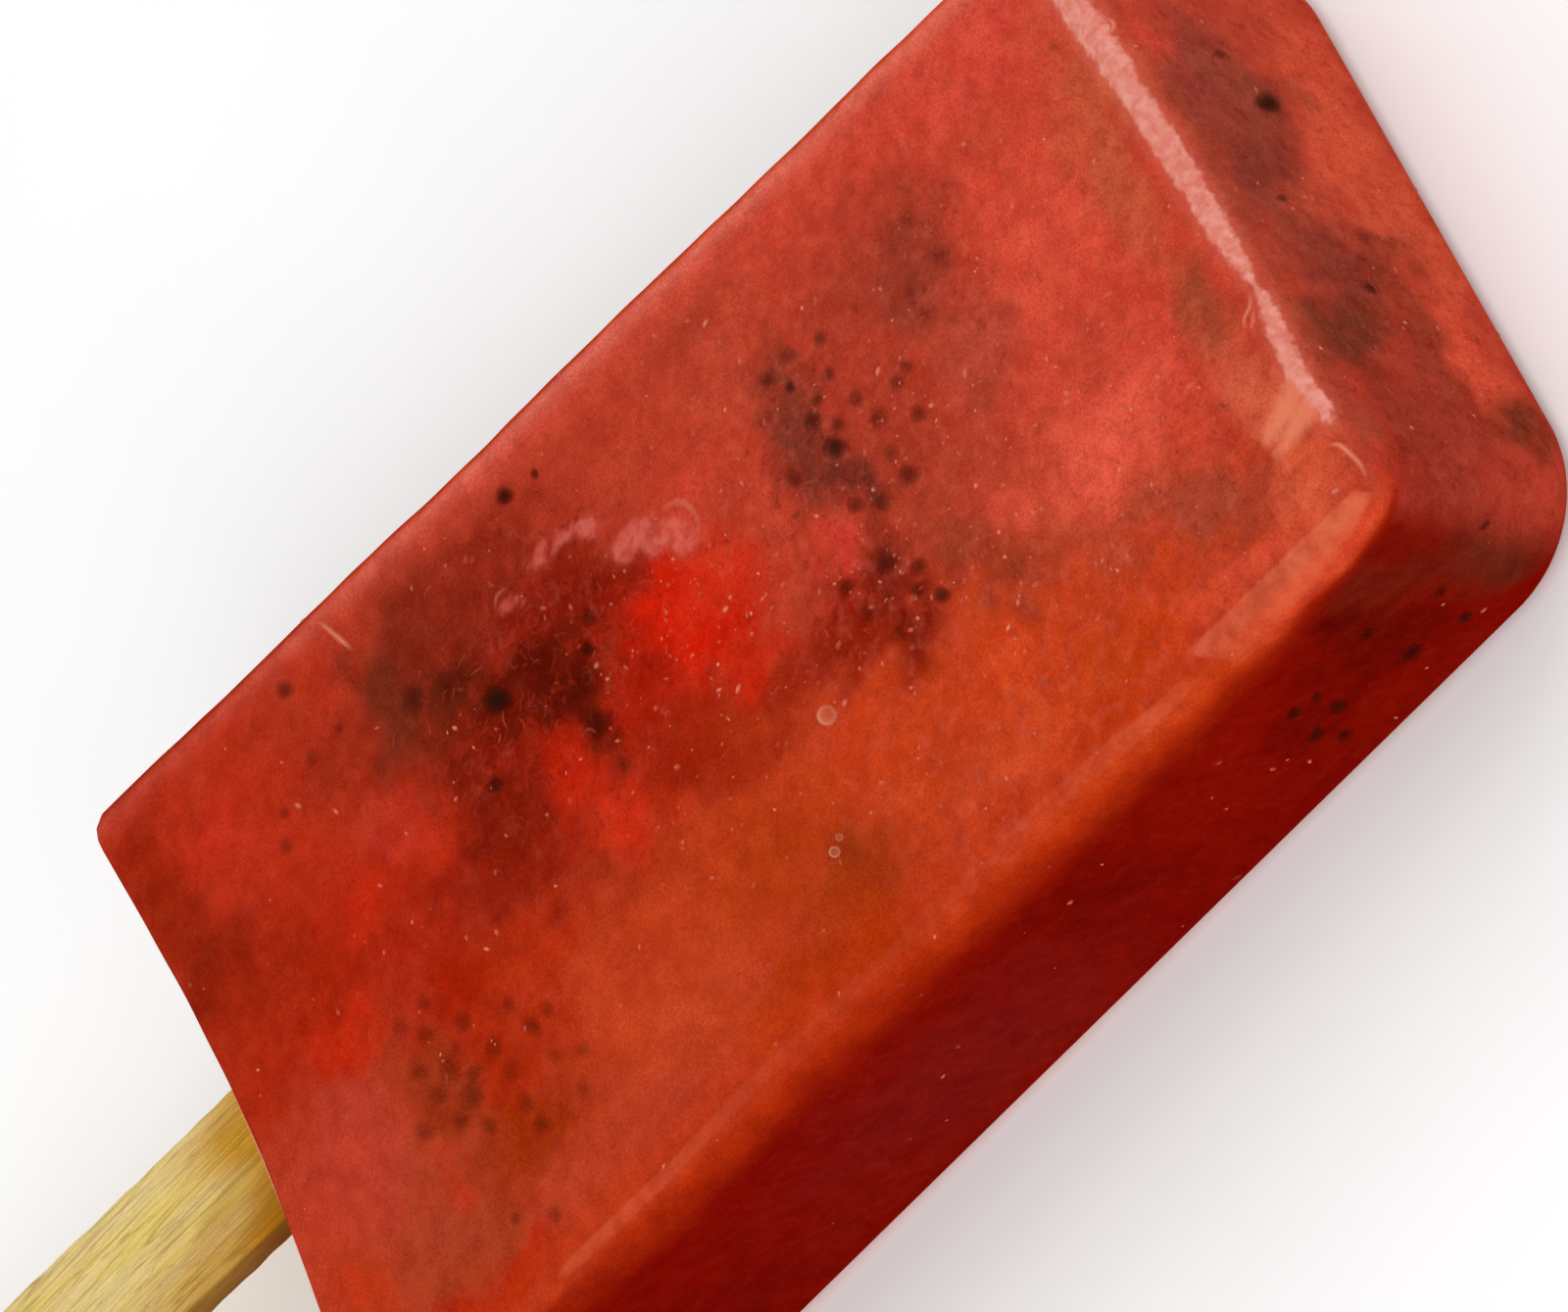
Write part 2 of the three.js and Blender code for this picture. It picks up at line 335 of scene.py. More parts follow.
# Clouds of pulp: middle, radii, colour, strength and, for some, their turn in degrees. On the front
# the middle is x and y.
FRONT_CLOUDS = [
    # the ground, from the stick to the tip
    (-8, 14, 22, 16, RED, 1.0),
    (0, 2, 16, 7, DEEP, 0.8),
    (-8, -9, 11, 8, DUSTY, 0.8, 10),
    (6, -18, 16, 7, DUSTY, 0.7),
    (26, -10, 20, 9, ORANGE, 0.8),
    (50, -14, 22, 9, ORANGE, 0.9),
    (36, 16, 12, 8, RUST, 0.9),
    (52, 6, 12, 12, RUST, 0.9),
    (56, 20, 20, 5, ROSE, 0.7),
    (70, 12, 12, 12, ROSE, 0.9),
    (71, -2, 10, 10, ROSE, 0.9),
    # the stick's end
    (-13.5, 13, 4.6, 8, (146, 34, 12), 0.95, 8),
    (-12.4, 10, 3.6, 3.4, (126, 26, 8), 0.75),
    (-4, 14.5, 7, 3, (182, 46, 24), 0.7),
    (-2, 7, 5, 4, (180, 40, 16), 0.5),
    (-13, 3, 4, 5, (168, 38, 12), 0.6),
    (-7, 6.5, 6, 3.4, (154, 34, 10), 0.75, -20),
    (-13, 18.8, 3.4, 3.4, (148, 32, 11), 0.75),
    (-7, 17, 4, 3.4, (186, 44, 24), 0.8, 20),
    (1, 5.6, 3.6, 2, (188, 38, 14), 0.7),
    (5.6, 8.6, 2.8, 2.8, (190, 50, 36), 0.7),
    (-5, -0.6, 4, 2.6, (190, 38, 12), 0.8),
    (-4, 3.2, 4.4, 1.8, (160, 31, 7), 0.6),
    (-9, -7, 6, 5, (178, 58, 44), 0.8),
    (2, 20.5, 3, 2.5, (158, 44, 22), 0.6),
    (4, 15, 5, 3.4, (148, 40, 20), 0.8),
    (-13, -9, 6, 6, (188, 58, 32), 0.6),
    # the dark fruit in the middle
    (20, 4, 14, 12, (142, 30, 10), 0.8),
    (13, 15, 6, 7, (112, 34, 18), 0.95, -10),
    (17, 8.5, 9, 6.5, SMOKE, 0.9, -14),
    (20, 6.4, 5, 3, (112, 18, 5), 0.7, -10),
    (21, 14.6, 4.4, 2.6, (124, 32, 18), 0.7),
    (22.4, 7.4, 4.4, 3.8, SOOT, 0.85, -20),
    (23.9, 3.2, 2.2, 4.4, SOOT, 0.85, 15),
    (17.2, 9.4, 2.6, 2.0, SOOT, 0.45),
    (15.0, 12.8, 3, 1.8, (84, 26, 12), 0.7, -10),
    (11.4, 13.8, 1.9, 1.8, (92, 32, 16), 0.6),
    (9.6, 14.4, 2.4, 4.4, (110, 40, 23), 0.8, 10),
    (7.2, 3, 2.4, 2.8, (138, 24, 8), 0.8),
    (13, 2.8, 5.6, 4.6, (118, 20, 6), 0.85),
    (12.6, 6.6, 3.6, 2.4, (124, 24, 8), 0.6),
    (22.6, 11.4, 2.6, 1.6, (150, 34, 20), 0.7),
    (17, 5.2, 3, 1.2, (152, 32, 16), 0.5, -15),
    (20, 17, 8, 3.8, (134, 34, 19), 0.85),
    (26.5, 12.4, 4, 2.4, (122, 20, 8), 0.85),
    (29, 9.4, 4.5, 2.6, (122, 18, 5), 0.9),
    (12, -0.6, 5, 2, (144, 27, 6), 0.5),
    (12.6, -5, 4.4, 2.8, (186, 42, 6), 0.55),
    (7.4, 6.2, 3, 4, (194, 46, 20), 0.6),
    # bright flesh beside it
    (31, 5, 2.8, 2.8, (190, 30, 8), 0.7),
    (33.2, 3, 6.4, 5, VIVID, 1.0, -14),
    (36, -1.4, 3.6, 2.6, (186, 28, 4), 0.8),
    (36.6, 4.6, 3, 2.8, (208, 46, 22), 0.6),
    (37.6, 10.6, 3, 3, (200, 64, 42), 0.7),
    (20.2, 1.4, 3.8, 2.8, (186, 30, 8), 0.8, 20),
    (23.6, -2.6, 4, 2.8, (204, 44, 18), 0.85, -20),
    (29.0, -3, 4.4, 3, (150, 28, 5), 0.9, -20),
    (27.4, 2.6, 2.2, 3.6, (156, 24, 5), 0.8),
    # the hazy middle
    (41.5, 7, 3, 5, (184, 60, 38), 0.7),
    (40.5, -4.5, 5, 2.6, (140, 28, 8), 0.85),
    (52.5, 4, 4, 6, (152, 50, 34), 0.5),
    (44.4, -4, 3.6, 4.4, (134, 22, 6), 0.85),
    (47.9, -3, 2.2, 2.4, (104, 26, 16), 0.85),
    (47.1, -7.6, 2.4, 4, (104, 10, 3), 0.95, -20),
    (53.4, -5, 2.4, 4, (146, 54, 32), 0.9, 24),
    (46.8, 9.8, 2.2, 4.2, (112, 46, 32), 0.85, 8),
    (47.6, 5.8, 2.4, 3.2, (102, 42, 30), 0.9, 10),
    (49.2, 1.9, 1.9, 3.2, (96, 38, 28), 0.9, 24),
    (45, 0.8, 1.8, 2.2, (198, 54, 42), 0.8),
    (44.4, 6, 1.6, 2.4, (140, 46, 32), 0.7),
    (53, 11.5, 4, 2.6, (156, 52, 36), 0.6),
    (59.5, 9.6, 4.4, 5.2, (130, 50, 35), 0.85, -14),
    (57, 15, 6, 4, (160, 54, 36), 0.5),
    (43, 18.5, 6, 2.6, (166, 60, 38), 0.6, -10),
    # brown, pink and orange towards the tip
    (57.4, -6.6, 2.4, 2.6, PINK, 0.6),
    (65.6, -7.2, 6.6, 4.8, PINK, 0.95),
    (60, -5, 2.6, 3.4, (184, 66, 44), 0.6),
    (68, 5, 7, 5, (210, 76, 54), 0.75, 20),
    (68, -1.4, 4, 1.6, (184, 62, 42), 0.75),
    (67.4, 13.8, 4, 2.2, (180, 64, 42), 0.7),
    (71, 18, 7, 3.6, (208, 70, 54), 0.8),
    (56, -2.4, 4, 2.4, (164, 58, 36), 0.6),
    (58.5, -10.5, 5, 2.6, (166, 60, 35), 0.7, -18),
    (66, -13.2, 4.4, 2, (172, 70, 45), 0.7, -22),
    (69.8, -15.4, 4.4, 2.4, (154, 62, 40), 0.8, -24),
    (75.4, 7, 2.8, 9, (186, 79, 50), 0.95),
    (75.6, -5.4, 2, 3.6, (142, 67, 40), 0.8),
    (76.2, -12, 2.6, 4.4, (206, 96, 66), 0.7),
    (76.6, -18.2, 3.2, 2.6, (214, 90, 56), 0.95),
    (60.5, 2.5, 3.4, 3.6, (166, 64, 46), 0.7),
    (60, -18.5, 8, 2.6, AMBER, 0.75),
    (58.6, -18.2, 3, 2.2, (176, 58, 22), 0.6),
    (70, -19.8, 6, 1.3, (208, 74, 46), 0.75),
    (52, -13, 6, 3.4, (206, 66, 26), 0.6),
    (55, -9.6, 2.2, 2.8, (142, 53, 30), 0.85, 40),
    # olive and orange by the near ridge
    (35.6, -17.5, 4.8, 3.8, (146, 49, 14), 1.0),
    (36, -21.4, 2.6, 2.4, (144, 40, 5), 0.9),
    (31, -12, 6.4, 3.6, (168, 53, 11), 0.75),
    (32, -5.5, 5, 2.6, (152, 34, 7), 0.7),
    (41, -10, 5, 2.6, (192, 56, 18), 0.6, 20),
    (22, -15, 6, 4, (188, 66, 32), 0.6),
    (30, -19.5, 9, 3.4, (170, 50, 12), 0.85),
    (50, -18.5, 6, 2.4, (204, 74, 34), 0.7),
    (44, 14, 4, 3.4, (186, 66, 44), 0.6),
    (28, 5.5, 2, 3, (158, 26, 6), 0.6),
    # the fruit near the stick
    (6, -9, 6.5, 6.5, (164, 36, 6), 0.9),
    (4.4, -4.2, 3.6, 3, (158, 26, 3), 0.85),
    (0.6, -8.5, 2.2, 6.5, (144, 46, 18), 0.85, 18),
    (5, -15, 6, 2.8, (150, 43, 6), 0.85),
    (-4.6, -18.4, 5, 2.2, (156, 50, 18), 0.6),
    (0.8, -17.8, 1.8, 1.4, (148, 46, 16), 0.7),
    (-3, -21.2, 6, 1.6, (174, 34, 8), 0.85),
    (-12, -15, 5, 2.4, (186, 48, 14), 0.7, -10),
    (-4, -14.5, 6, 4.5, (162, 60, 34), 0.8),
    (-1.5, -13.5, 1.6, 1.8, (186, 50, 24), 0.7),
]

# On the tip it is y and z.
TIP_CLOUDS = [
    (3, 5, 15, 5, (210, 82, 54), 1.0),
    (3, 9, 4.6, 2.2, (216, 82, 54), 0.85, -52),
    (10.5, 4.8, 5, 2.2, (218, 82, 56), 0.85),
    (-18.5, 16.4, 3.4, 2.6, (146, 44, 30), 0.7),
    (-19, 13, 5, 6, (150, 50, 36), 0.9),
    (8, 15.5, 6, 5, TAN, 0.95),
    (1, 16, 5, 4, (142, 62, 46), 0.85),
    (8.5, 19.4, 2.6, 3, (146, 56, 46), 0.9, -50),
    (12.8, 20.4, 2.6, 2.8, (222, 74, 54), 1.0, 10),
    (4, 20.4, 3, 1.6, (200, 72, 50), 0.75),
    (-20.8, 20.2, 2.4, 3.2, (206, 58, 34), 0.9, 24),
    (-20, 16.6, 2, 1.8, (146, 40, 26), 0.7),
    (-17, 20.8, 2, 2, (182, 60, 42), 0.6),
    (-4.5, 14.5, 5, 5, (138, 56, 42), 0.95),
    (-14, 15, 4, 4, (142, 48, 34), 0.8),
    (-12, 13.2, 2.4, 1.2, (168, 58, 40), 0.7, -20),
    (-10, 16.4, 2.2, 5, (110, 50, 32), 0.95, 26),
    (-7.6, 8.4, 7, 2.8, (148, 54, 36), 0.9),
    (-13, 9.4, 4.4, 2, (148, 52, 36), 0.85, -14),
    (-5, 10.4, 1.5, 5, (124, 46, 32), 0.85, 26),
    (2.8, 15.4, 1.7, 5, (128, 50, 38), 0.75, 37),
    (12.4, 13, 2, 3.4, (140, 60, 47), 0.7),
    (-16.6, 4.6, 2.6, 3.4, (114, 46, 27), 0.95, 30),
    (-10.4, 4.8, 4.2, 2.2, (218, 80, 54), 0.95, -10),
    (0, 13.4, 1.6, 1.8, (178, 70, 48), 0.7),
    (14, 10, 3, 4.4, (190, 68, 46), 0.6),
    (0.5, 10, 2.6, 2.4, (194, 72, 50), 0.8),
    (7.5, 11.3, 2.4, 2.4, (120, 54, 38), 0.7),
    (8.6, 7.4, 2.4, 2, (164, 68, 46), 0.7),
]

# On the side wall it is x and z. The walls are painted darker than the front as painted shade, over clouds
# of their own.
WALL_CLOUDS = [
    (27, 9.6, 15, 7.6, PLUM, 0.9),
    (28, 4, 9, 3, (124, 22, 15), 0.5),
    (10, 6, 9, 4, (124, 16, 6), 0.7),
    (2, 8, 5, 6, (112, 8, 3), 0.7),
    (44, 13, 5, 7, (106, 7, 1), 0.7),
    (54, 12, 5, 6, (130, 12, 2), 0.6),
    (73.5, 15, 4.5, 6, (106, 23, 11), 0.9),
    (76.4, 7, 3.5, 5, (98, 34, 20), 0.9),
    (68, 10, 4, 6, (94, 8, 1), 0.8),
    (60.5, 8.0, 3.5, 4.4, (102, 7, 1), 0.7),
    (58.6, 14.4, 3.6, 3.4, (132, 12, 2), 0.7),
    (69.6, 15.4, 2, 2.2, (88, 7, 1), 0.8),
    (63, 3.4, 8, 3, (126, 14, 3), 0.7),
]


def cloud(u, v, long, wide, turn=0):
    """1 in the middle of an oval cloud, fading to 0 a little past its edge."""
    angle = math.radians(turn)
    a = (u * math.cos(angle) + v * math.sin(angle)) / long
    b = (v * math.cos(angle) - u * math.sin(angle)) / wide
    return 1 - step(0.15, 1.5, np.hypot(a, b))


def wisps(points, seed):
    """A field that frays the edges of clouds, from about -0.5 to 0.5."""
    return layered_waves(points, ((0.12, 2.4, seed), (0.06, 1.0, seed + 1)))


def bend(points, seed):
    """Points moved about a little, so that what is laid out by them has a ragged edge."""
    shifts = []
    for first in range(seed, seed + 3):
        layers = ((0.5, 4.0, first), (0.35, 1.6, first + 10), (0.2, 0.8, first + 20))
        shifts.append(layered_waves(points, layers))
    return points + np.column_stack(shifts)


def mixed(colour, tone, share):
    """Colours taken some way to another tone."""
    return colour + (shade(*tone) - colour) * np.asarray(share)[:, None]


def clouded(ground, points, axes, clouds, seed):
    """A ground tone with clouds laid over it along two axes, one after another."""
    bent = bend(points, seed)
    frays = [wisps(points, seed + 30 + 2 * index) for index in range(3)]
    colour = np.broadcast_to(shade(*ground), (len(points), 3)).copy()
    for index, (u, v, long, wide, tone, strength, *turn) in enumerate(clouds):
        share = cloud(bent[:, axes[0]] - u, bent[:, axes[1]] - v, long, wide, *turn)
        share = np.clip(share + 4 * share * (1 - share) * frays[index % 3], 0, 1)
        colour = mixed(colour, tone, share * strength)
    return colour


def front_colour(points, seed):
    colour = clouded(RUST, points, (0, 1), FRONT_CLOUDS, seed)
    from_far = block_width(points[:, 0]) - points[:, 1]
    near_tip = step(-14, 38, points[:, 0])
    from_near = block_width(points[:, 0]) + points[:, 1]
    # A painted orange glow along the near ridge, where light comes through the rounded edge.
    near_ridge_glow = (1 - step(3.0, 5.4, from_near)) * (1 - step(62, 72, points[:, 0]))
    colour = mixed(colour, (186, 50, 8), 0.5 * near_ridge_glow)
    # A painted highlight: a pale rim of light along the far edge, stronger towards the tip.
    colour = mixed(colour, (206, 76, 56), 0.7 * (1 - step(1.5, 5.0, from_far)) * near_tip)
    return mixed(colour, PALE, (0.25 + 0.65 * near_tip) * (1 - step(0.4, 3.0, from_far)))


def tip_colour(points, seed):
    colour = clouded((184, 60, 42), points, (1, 2), TIP_CLOUDS, seed)
    near_top = step(18.0, 20.4, points[:, 2] - 0.6 * waves(points, 2.0, seed + 5))
    return mixed(colour, (160, 66, 44), 0.6 * near_top)


# The side walls' own clouds, darkened by painted shade.
def wall_colour(points, seed):
    return clouded(WALL, points, (0, 2), WALL_CLOUDS, seed)


def turned(points):
    """The places of the front and the side that the back and the far side take their fruit from."""
    return points * (-1, -1, 1) + (BASE_X + TIP_X, 0, 0)


def past_ridge(points, normals):
    """How far points are past the flat of the front, over the edge and down a wall."""
    from_front = block_top(points[:, 0]) - points[:, 2]
    round_edge = EDGE * np.arctan2(np.hypot(normals[:, 0], normals[:, 1]), normals[:, 2])
    return round_edge + np.maximum(from_front - EDGE, 0)


# Painted light and shade down the wall from the ridge: tones that go from a glow, where light comes
# through the rounded edge, to the shaded wall. How far past the flat of the front they start, and how fast
# they follow each other, depends on the place along the ridge.
RIDGE_WAY = (0.4, 1.0, 2.0, 3.0, 4.2, 6.4)
RIDGE_GLOW_TONES = ((190, 60, 22), (178, 47, 12), (163, 38, 9), (148, 28, 6), (137, 20, 3), WALL)
RIDGE_STOPS = (0, 12, 34, 44, 52, 58, 64, 70, 76)
RIDGE_START = (-0.9, 0, 0, 0.7, 1.2, 1.5, 2.2, 2.4, 2.5)
RIDGE_PACE = (1, 1, 1, 1, 1, 1, 1.35, 2, 3)


def pulp_colour(points, normals):
    """The colour of the frozen fruit at each vertex of the block, whichever way it faces, with painted
    glow and shade over the ridges and the walls.
    """
    colour = wall_colour(points, 100)
    for share, other in ((normals[:, 1], wall_colour(turned(points), 200)),
                         (normals[:, 0], tip_colour(points, 300)),
                         (-normals[:, 0], tip_colour(points * (1, -1, 1), 400)),
                         (normals[:, 2], front_colour(points, 500)),
                         (-normals[:, 2], front_colour(turned(points), 600))):
        colour = colour + (other - colour) * step(0.35, 0.85, share)[:, None]
    # The painted glow and shade from the ridge down the wall, brighter by the tip.
    past = past_ridge(points, normals) + 0.2 * waves(points, 2.5, 130)
    way = past - np.interp(points[:, 0], RIDGE_STOPS, RIDGE_START)
    way = way * np.interp(points[:, 0], RIDGE_STOPS, RIDGE_PACE)
    by_tip = step(63, 72, points[:, 0])
    tones = np.array([shade(*tone) for tone in RIDGE_GLOW_TONES])
    ridge = np.column_stack([np.interp(way, RIDGE_WAY, tones[:, channel]) for channel in range(3)])
    ridge = mixed(ridge, (204, 68, 38), by_tip * (1 - step(-0.5, 3.2, way)))
    on_wall = step(0.2, 0.85, np.abs(normals[:, 1]) / np.hypot(normals[:, 0], normals[:, 2]).clip(0.3))
    share = on_wall * step(0.0, 0.8, past) * (1 - step(3.0, 6.8, way))
    colour = colour + (ridge - colour) * share[:, None]
    over_tip = step(0.45, 0.75, normals[:, 0]) * step(0.25, 0.55, normals[:, 2])
    return mixed(colour, (176, 62, 42), 0.5 * over_tip)


# What the paint is multiplied by on each face, to make up for the light that falls there: the axis
# through the face, which way it faces, and the gain.
LIGHT_GAINS = ((0, 1, 0.81), (0, -1, 0.81), (1, 1, 1.0), (1, -1, 0.89), (2, 1, 0.905), (2, -1, 0.905))


def lit(colour, normals):
    """The paint that looks like a colour under the studio's light."""
    gain = np.zeros(len(normals))
    for axis, way, face_gain in LIGHT_GAINS:
        gain += face_gain * np.maximum(way * normals[:, axis], 0) ** 2
    return np.clip(colour * gain[:, None], 0, 1)


# ---- Node materials ----


def rgba(red, green, blue):
    return (*shade(red, green, blue), 1.0)


class Shader:
    """A node material under construction. Sizes of noise are in millimetres."""

    def __init__(self, name):
        self.material = bpy.data.materials.new(name)
        self.material.use_nodes = True
        self.tree = self.material.node_tree
        self.tree.nodes.clear()
        self.place = self.add("ShaderNodeTexCoord").outputs["Object"]

    def set(self, socket, value):
        """Sets a socket to a value, or links another node's output to it."""
        if isinstance(value, bpy.types.NodeSocket):
            self.tree.links.new(value, socket)
        else:
            socket.default_value = value

    def add(self, kind, inputs=None, **settings):
        """Adds a node. Its inputs are given by name or by number."""
        node = self.tree.nodes.new(kind)
        for name, value in settings.items():
            setattr(node, name, value)
        for name, value in (inputs or {}).items():
            self.set(node.inputs[name], value)
        return node

    def attribute(self, name, output="Fac"):
        return self.add("ShaderNodeAttribute", attribute_name=name).outputs[output]

    def noise(self, size, detail=2.0, roughness=0.5, stretch=(1, 1, 1), distortion=0.0):
        """Noise from 0 to 1 whose lumps are about a size across."""
        place = self.add("ShaderNodeMapping", {"Vector": self.place, "Scale": stretch}).outputs["Vector"]
        return self.add("ShaderNodeTexNoise", {
            "Vector": place, "Scale": 1 / (size * MM), "Detail": detail, "Roughness": roughness,
            "Distortion": distortion,
        }).outputs["Fac"]

    def maths(self, operation, first, second=0.0):
        return self.add("ShaderNodeMath", {0: first, 1: second}, operation=operation).outputs["Value"]

    def times(self, first, second):
        return self.maths("MULTIPLY", first, second)

    def spread(self, value, low, high, to_low=0.0, to_high=1.0):
        """Takes low..high of a value to to_low..to_high, with soft ends."""
        return self.add("ShaderNodeMapRange", {
            "Value": value, "From Min": low, "From Max": high, "To Min": to_low, "To Max": to_high,
        }, interpolation_type="SMOOTHSTEP").outputs["Result"]

    def ragged(self, name, size, reach, low, high, most):
        """A cover that follows a stored depth, but with a ragged edge."""
        rough = self.times(self.maths("SUBTRACT", self.noise(size, 4.0, 0.65), 0.5), reach)
        return self.spread(self.maths("ADD", self.attribute(name), rough), low, high, 0.0, most)

    def lines(self, noise, width, most=1.0):
        """Thin lines where a noise passes its middle."""
        away = self.maths("ABSOLUTE", self.maths("SUBTRACT", noise, 0.5))
        return self.spread(away, 0.0, width, most, 0.0)

    def strands(self, size, width):
        """Thin broken lines that wander, about a size apart."""
        broken = self.spread(self.noise(size * 0.7, 1.0), 0.48, 0.6)
        return self.times(self.lines(self.noise(size, 1.0, distortion=1.0), width), broken)

    def blend(self, share, first, second, mode="MIX"):
        """Mixes two colours."""
        return self.add("ShaderNodeMix", {0: share, 6: first, 7: second},
                        data_type="RGBA", blend_type=mode).outputs[2]

    def over(self, colour, share, tone):
        """A colour with a tone laid over a share of it."""
        return self.blend(share, colour, rgba(*tone))

    def two_tone(self, noise, softness, dark, light):
        """A colour that wanders between two tones as a noise does."""
        return self.blend(self.spread(noise, 0.5 - softness, 0.5 + softness), rgba(*dark), rgba(*light))

    def uneven(self, colour, red, others):
        """A colour with its red times one number, and its green and blue times another."""
        factors = self.add("ShaderNodeCombineXYZ", {"X": red, "Y": others, "Z": others}).outputs["Vector"]
        return self.blend(1.0, colour, factors, "MULTIPLY")

    def bump(self, height):
        """The normal of a surface with a height in millimetres."""
        return self.add("ShaderNodeBump", {"Height": height, "Distance": MM}).outputs["Normal"]

    def principled(self, colour, roughness, specular, **inputs):
        values = {"Base Color": colour, "Roughness": roughness, "Specular IOR Level": specular}
        return self.add("ShaderNodeBsdfPrincipled", {**values, **inputs}).outputs["BSDF"]

    def finish(self, surface, cover=None):
        """Ends the material. Where a cover is given, the surface is see-through outside it."""
        if cover is not None:
            clear = self.add("ShaderNodeBsdfTransparent").outputs["BSDF"]
            surface = self.add("ShaderNodeMixShader", {0: cover, 1: clear, 2: surface}).outputs["Shader"]
        self.add("ShaderNodeOutputMaterial", {"Surface": surface})
        return self.material


ICE_GLOSS = 0.0  # a breath of rime dulls the ice

# Fine patches in the ice: the size, detail and roughness of their noise, where it starts to show and
# where it shows most, how much that is, the attribute that it lies in, and the colour.
ICE_PATCHES = (
    (1.3, 4.0, 0.62, 0.5, 0.72, 0.4, "haze", BROWN),
    (1.1, 3.0, 0.55, 0.45, 0.8, 0.26, "haze", HAZE),
    (0.7, 4.0, 0.65, 0.54, 0.7, 0.5, "pulp", SOOT),
)
# Fibres in the pulp: how far apart, how wide, how much they show, and the colour.
ICE_STRANDS = ((1.6, 0.11, 0.16, (200, 52, 28)), (2.1, 0.05, 0.06, PALE))
RIPPLE_HEIGHT = 0.03
CRUST_HEIGHT = 0.025


def ice_material():
    shader = Shader("fruit_ice")
    mottle = shader.spread(shader.noise(1.8, 5.0, 0.6), 0.28, 0.72, 0.885, 1.115)
    grain = shader.spread(shader.noise(0.16, 1.0), 0.25, 0.75, 0.92, 1.08)
    others = shader.times(shader.maths("POWER", mottle, 1.8), shader.maths("POWER", grain, 3.2))
    colour = shader.uneven(shader.attribute("paint", "Color"), shader.times(mottle, grain), others)
    for size, detail, roughness, low, high, most, place, tone in ICE_PATCHES:
        share = shader.spread(shader.noise(size, detail, roughness), low, high, 0.0, most)
        colour = shader.over(colour, shader.times(share, shader.attribute(place)), tone)
    for size, width, most, tone in ICE_STRANDS:
        share = shader.times(shader.strands(size, width), most)
        colour = shader.over(colour, shader.times(share, shader.attribute("pulp")), tone)
    flesh = shader.two_tone(shader.noise(0.8, 3.0), 0.15, (198, 78, 64), (216, 112, 100))
    colour = shader.blend(shader.ragged("flesh", 0.8, 0.4, 0.0, 0.8, 0.52), colour, flesh)
    colour = shader.over(colour, shader.ragged("veil", 0.6, 0.7, 0.15, 1.0, 0.68), (224, 130, 98))
    # A painted highlight along the near ridge, a strip of reflected light.
    ridge_highlight = shader.ragged("ridge_highlight", 0.5, 0.25, -0.12, 0.2, 1.0)
    ridge_highlight = shader.times(ridge_highlight, shader.attribute("ridge_highlight_share"))
    ridge_highlight = shader.times(ridge_highlight, shader.spread(shader.noise(1.1, 3.0), 0.3, 0.7, 0.6, 1.3))
    colour = shader.over(colour, ridge_highlight, (218, 112, 76))
    colour = shader.over(colour, shader.ragged("frost", 0.6, 1.4, -1.1, 0.2, 0.3), (210, 110, 88))
    frost = shader.ragged("frost", 0.7, 1.1, -0.16, 0.24, 0.9)
    white = shader.two_tone(shader.noise(0.8, 4.0, 0.6), 0.2, (204, 114, 98), (220, 148, 134))
    colour = shader.blend(frost, colour, white)
    ripple = shader.times(shader.noise(0.9, 3.0), RIPPLE_HEIGHT)
    crust = shader.times(shader.times(shader.noise(0.3, 3.0), frost), CRUST_HEIGHT)
    surface = shader.principled(
        colour, shader.spread(frost, 0.0, 1.0, 0.38, 0.8), ICE_GLOSS,
        **{"Normal": shader.bump(shader.maths("ADD", ripple, crust)), "Subsurface Weight": 0.25,
           "Subsurface Radius": (1.0, 0.25, 0.15), "Subsurface Scale": 0.0006})
    return shader.finish(surface)


def cover_material(name, dark, light, size):
    """Something soft or thin in the ice, which shows as much as its cover says."""
    shader = Shader(name)
    colour = shader.two_tone(shader.noise(size), 0.15, dark, light)
    return shader.finish(shader.principled(colour, 0.5, ICE_GLOSS), shader.attribute("cover"))


WOOD_RINGS = ((0.4, 0.04, 0.36), (1.3, 0.022, 0.45))  # how far apart, how wide, how much they show
GRAIN_HEIGHT = 0.03


def wood_material():
    shader = Shader("birch")
    broad = shader.noise(2.0, 2.0, 0.5, stretch=(0.12, 1, 1))
    colour = shader.two_tone(broad, 0.15, (216, 189, 106), (219, 194, 134))
    patches = shader.noise(3.0, 2.0, stretch=(0.3, 1, 1))
    colour = shader.over(colour, shader.spread(patches, 0.45, 0.7, 0.0, 0.5), (230, 208, 150))
    damp = shader.times(shader.attribute("damp"), shader.spread(patches, 0.3, 0.7, 0.8, 1.0))
    colour = shader.over(colour, damp, (190, 136, 34))
    brown = shader.blend(shader.attribute("damp"), rgba(180, 126, 0), rgba(156, 96, 2))
    colour = shader.blend(shader.attribute("soaked"), colour, brown)
    fine = shader.noise(0.22, 2.0, 0.6, stretch=(0.06, 1, 1), distortion=0.5)
    dust = shader.spread(shader.noise(0.12), 0.3, 0.7, 0.93, 1.07)
    light = shader.times(dust, shader.spread(fine, 0.3, 0.7, 0.84, 1.1))
    colour = shader.uneven(colour, light, light)
    for size, width, most in WOOD_RINGS:
        ring = shader.noise(size, 1.0, stretch=(0.04, 1, 1), distortion=0.5)
        colour = shader.over(colour, shader.lines(ring, width, most), (136, 96, 20))
    # Painted shade on the near side of the stick.
    colour = shader.over(colour, shader.attribute("side_shade"), (100, 44, 6))
    normal = shader.bump(shader.times(fine, GRAIN_HEIGHT))
    return shader.finish(shader.principled(colour, 0.7, 0.04, **{"Normal": normal}))


# ---- Draping on the ice ----

